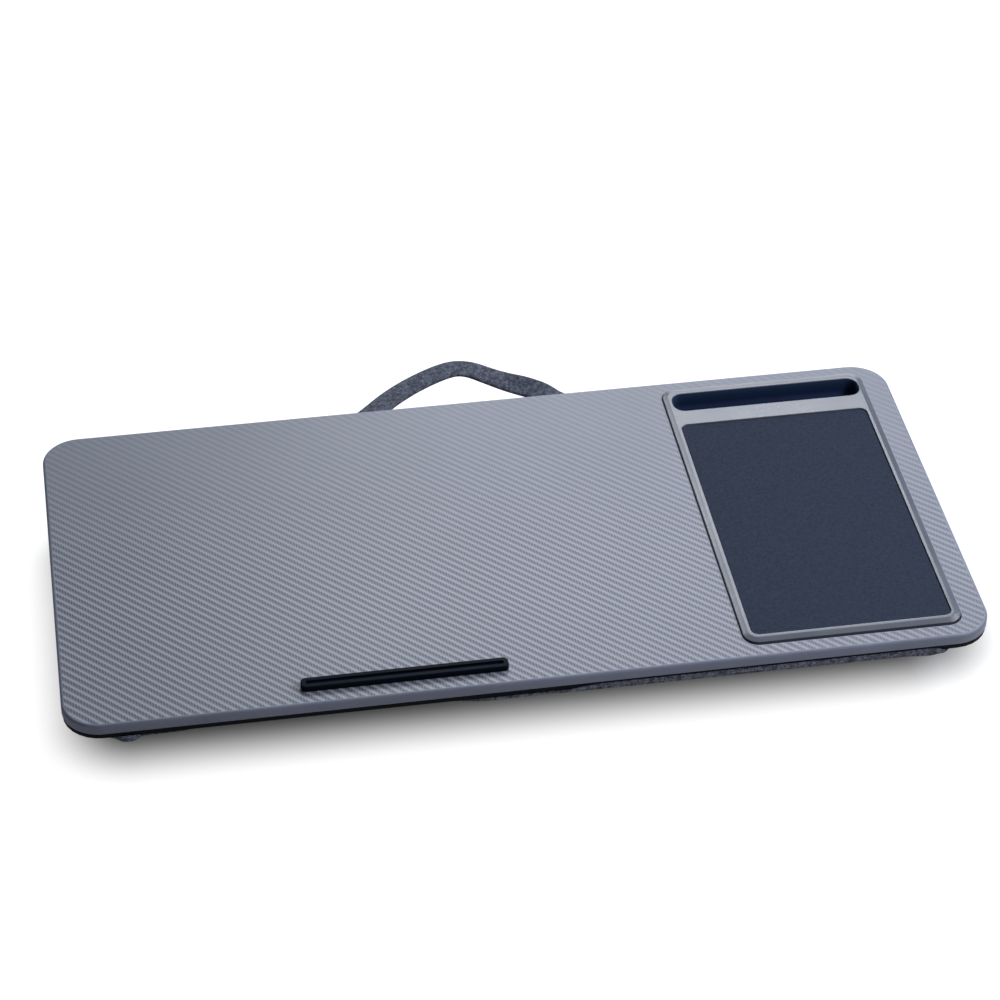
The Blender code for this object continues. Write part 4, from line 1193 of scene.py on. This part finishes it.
@dataclass
class Studio:
    """Floor, world, lamps and the camera that sees the tray as in the photograph."""

    floor_size: float = 8.0
    floor_level: float = -0.0002
    floor_albedo: float = 0.70
    floor_seen: float = 0.30
    # the rectangle round whose edge the camera-only glow fades: it paints the floor shadow's extent
    shade_middle: float = 0.008
    shade_half: Pair = (0.308, 0.140)
    shade_corner: float = 0.062
    shade_fade: Pair = (-0.051, 0.001)
    lift: Pair = (0.045, 0.97)
    air_level: float = 0.12
    air_colour: Colour = (0.96, 0.98, 1.0)
    lamps: tuple[Lamp, ...] = (
        Lamp("side_lamp", (0.62, LEVELS.board_y - 0.12, 0.58), (0.70, 0.40), 7.7, (-1.0, 0.0, 0.12)),
        Lamp("back_lamp", (0.48, 1.66, 1.42), (1.0, 0.75), 17.6),
        Lamp("near_lamp", (0.02, 0.88, 0.83), (0.22, 0.20), 1.5),
        Lamp("low_lamp", (0.74, 2.20, 0.55), (1.0, 0.60), 8.0))
    yaw: float = math.radians(9.284)
    elevation: float = math.radians(38.355)
    roll: float = math.radians(0.19)
    lens: float = 111.52
    camera_shift: Pair = (-0.0005, 0.0005)
    camera_place: Triple = (-0.24361, -1.48800, 1.21913)

    def build(self) -> None:
        """Build the whole studio."""
        self.floor()
        self.world()
        for lamp in self.lamps:
            lamp.hang()
        self.camera()

    def floor(self) -> None:
        """Lay a matt pale floor, which the camera sees lifted to white all round the tray's shadow.

        The lift grows with the distance outside a rectangle with round corners, about the tray's own; its
        fade is painted shadow, which sets how far the shadow reaches. The camera sees the floor at a lower
        albedo than the light that bounces off it, which deepens the shadow.
        """
        half = self.floor_size / 2
        corners = [(x * half, y * half, self.floor_level) for x, y in ((-1, -1), (1, -1), (1, 1), (-1, 1))]
        mesh = bpy.data.meshes.new("floor")
        mesh.from_pydata(corners, [], [(0, 1, 2, 3)])
        bench = NodeBench("floor_paper")
        axes = bench.axes(bench.places())
        squares = []
        for socket, middle, reach in zip(axes, (self.shade_middle, LEVELS.board_y), self.shade_half):
            offset = bench.math("ABSOLUTE", bench.minus(socket, middle))
            beyond = bench.math("MAXIMUM", bench.minus(offset, reach - self.shade_corner), 0.0)
            squares.append(bench.times(beyond, beyond))
        outside = bench.minus(bench.math("SQRT", bench.plus(*squares)), self.shade_corner)
        # painted shadow: the glow whitens the floor outside the rectangle and fades in towards it, and the
        # camera sees a darker floor than the light bouncing off it
        seen = bench.add("LightPath").outputs["Is Camera Ray"]
        painted_shadow_glow = bench.times(seen, bench.span(outside, *self.shade_fade, *self.lift))
        paper = bench.mix(seen, (self.floor_albedo,) * 3, (self.floor_seen,) * 3)
        bench.surface(Base_Color=paper, Roughness=1.0, Specular_IOR_Level=0.0,
                      Emission_Color=(1.0, 1.0, 1.0), Emission_Strength=painted_shadow_glow)
        mesh.materials.append(bench.owner)
        link_piece("floor", mesh)

    def world(self) -> None:
        """Light the air evenly, and show white to the camera and through glass."""
        world = bpy.data.worlds.new("studio_air")
        bpy.context.scene.world = world
        bench = NodeBench(world)
        bench.nodes.clear()
        path = bench.add("LightPath").outputs
        sees = bench.math("MAXIMUM", path["Is Camera Ray"], path["Is Transmission Ray"])
        air = bench.add("Background", {}, {"Color": self.air_colour, "Strength": self.air_level})
        white = bench.add("Background", {}, {"Color": (1.0, 1.0, 1.0)})
        mix = bench.add("MixShader", {}, {0: sees, 1: air.outputs[0], 2: white.outputs[0]})
        bench.add("OutputWorld", {}, {"Surface": mix.outputs[0]})

    def camera(self) -> None:
        """Place the camera from its yaw, elevation and roll, worked out from the board's corners."""
        turned, tipped, rolled = ((math.sin(angle), math.cos(angle))
                                  for angle in (self.yaw, self.elevation, self.roll))
        ahead = Vector((turned[0] * tipped[1], turned[1] * tipped[1], -tipped[0]))
        right = Vector((turned[1], -turned[0], 0.0))
        up = right.cross(ahead)
        columns = (right * rolled[1] + up * rolled[0], up * rolled[1] - right * rolled[0], -ahead)
        data = bpy.data.cameras.new("photo_camera")
        data.lens, data.sensor_width = self.lens, 36.0
        data.shift_x, data.shift_y = self.camera_shift
        data.clip_end = 50.0
        camera = link_piece("photo_camera", data)
        place = Vector(self.camera_place) + Vector((0.0, LEVELS.board_y, LEVELS.panel_top))
        camera.matrix_world = Matrix.Translation(place) @ Matrix(columns).transposed().to_4x4()
        bpy.context.scene.camera = camera
        bpy.context.scene.view_settings.view_transform = "Standard"


def main() -> None:
    """Build and dress every piece, and log each piece's face count."""
    logging.basicConfig(level=logging.INFO, format="%(message)s")
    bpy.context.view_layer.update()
    board, tray = Board(), Tray()
    built = [board.build(tray.outline()), tray.build(), tray.build_liner(), tray.build_pad(), Ledge().build(),
             Strap().build()]
    cloth = HeatherCloth("cushion_cloth", (0.012, 0.015, 0.028), (0.290, 0.305, 0.385), Weave.PLAIN, 0.85,
                         1300.0)
    cover = cloth.material()
    built += [Cushion(side).build(cover) for side in (-1, 1)]
    Dressing().dress()
    Studio().build()
    for piece in built:
        log.info("%s: %d faces", piece.name, len(piece.data.polygons))


if __name__ == "__main__":
    main()
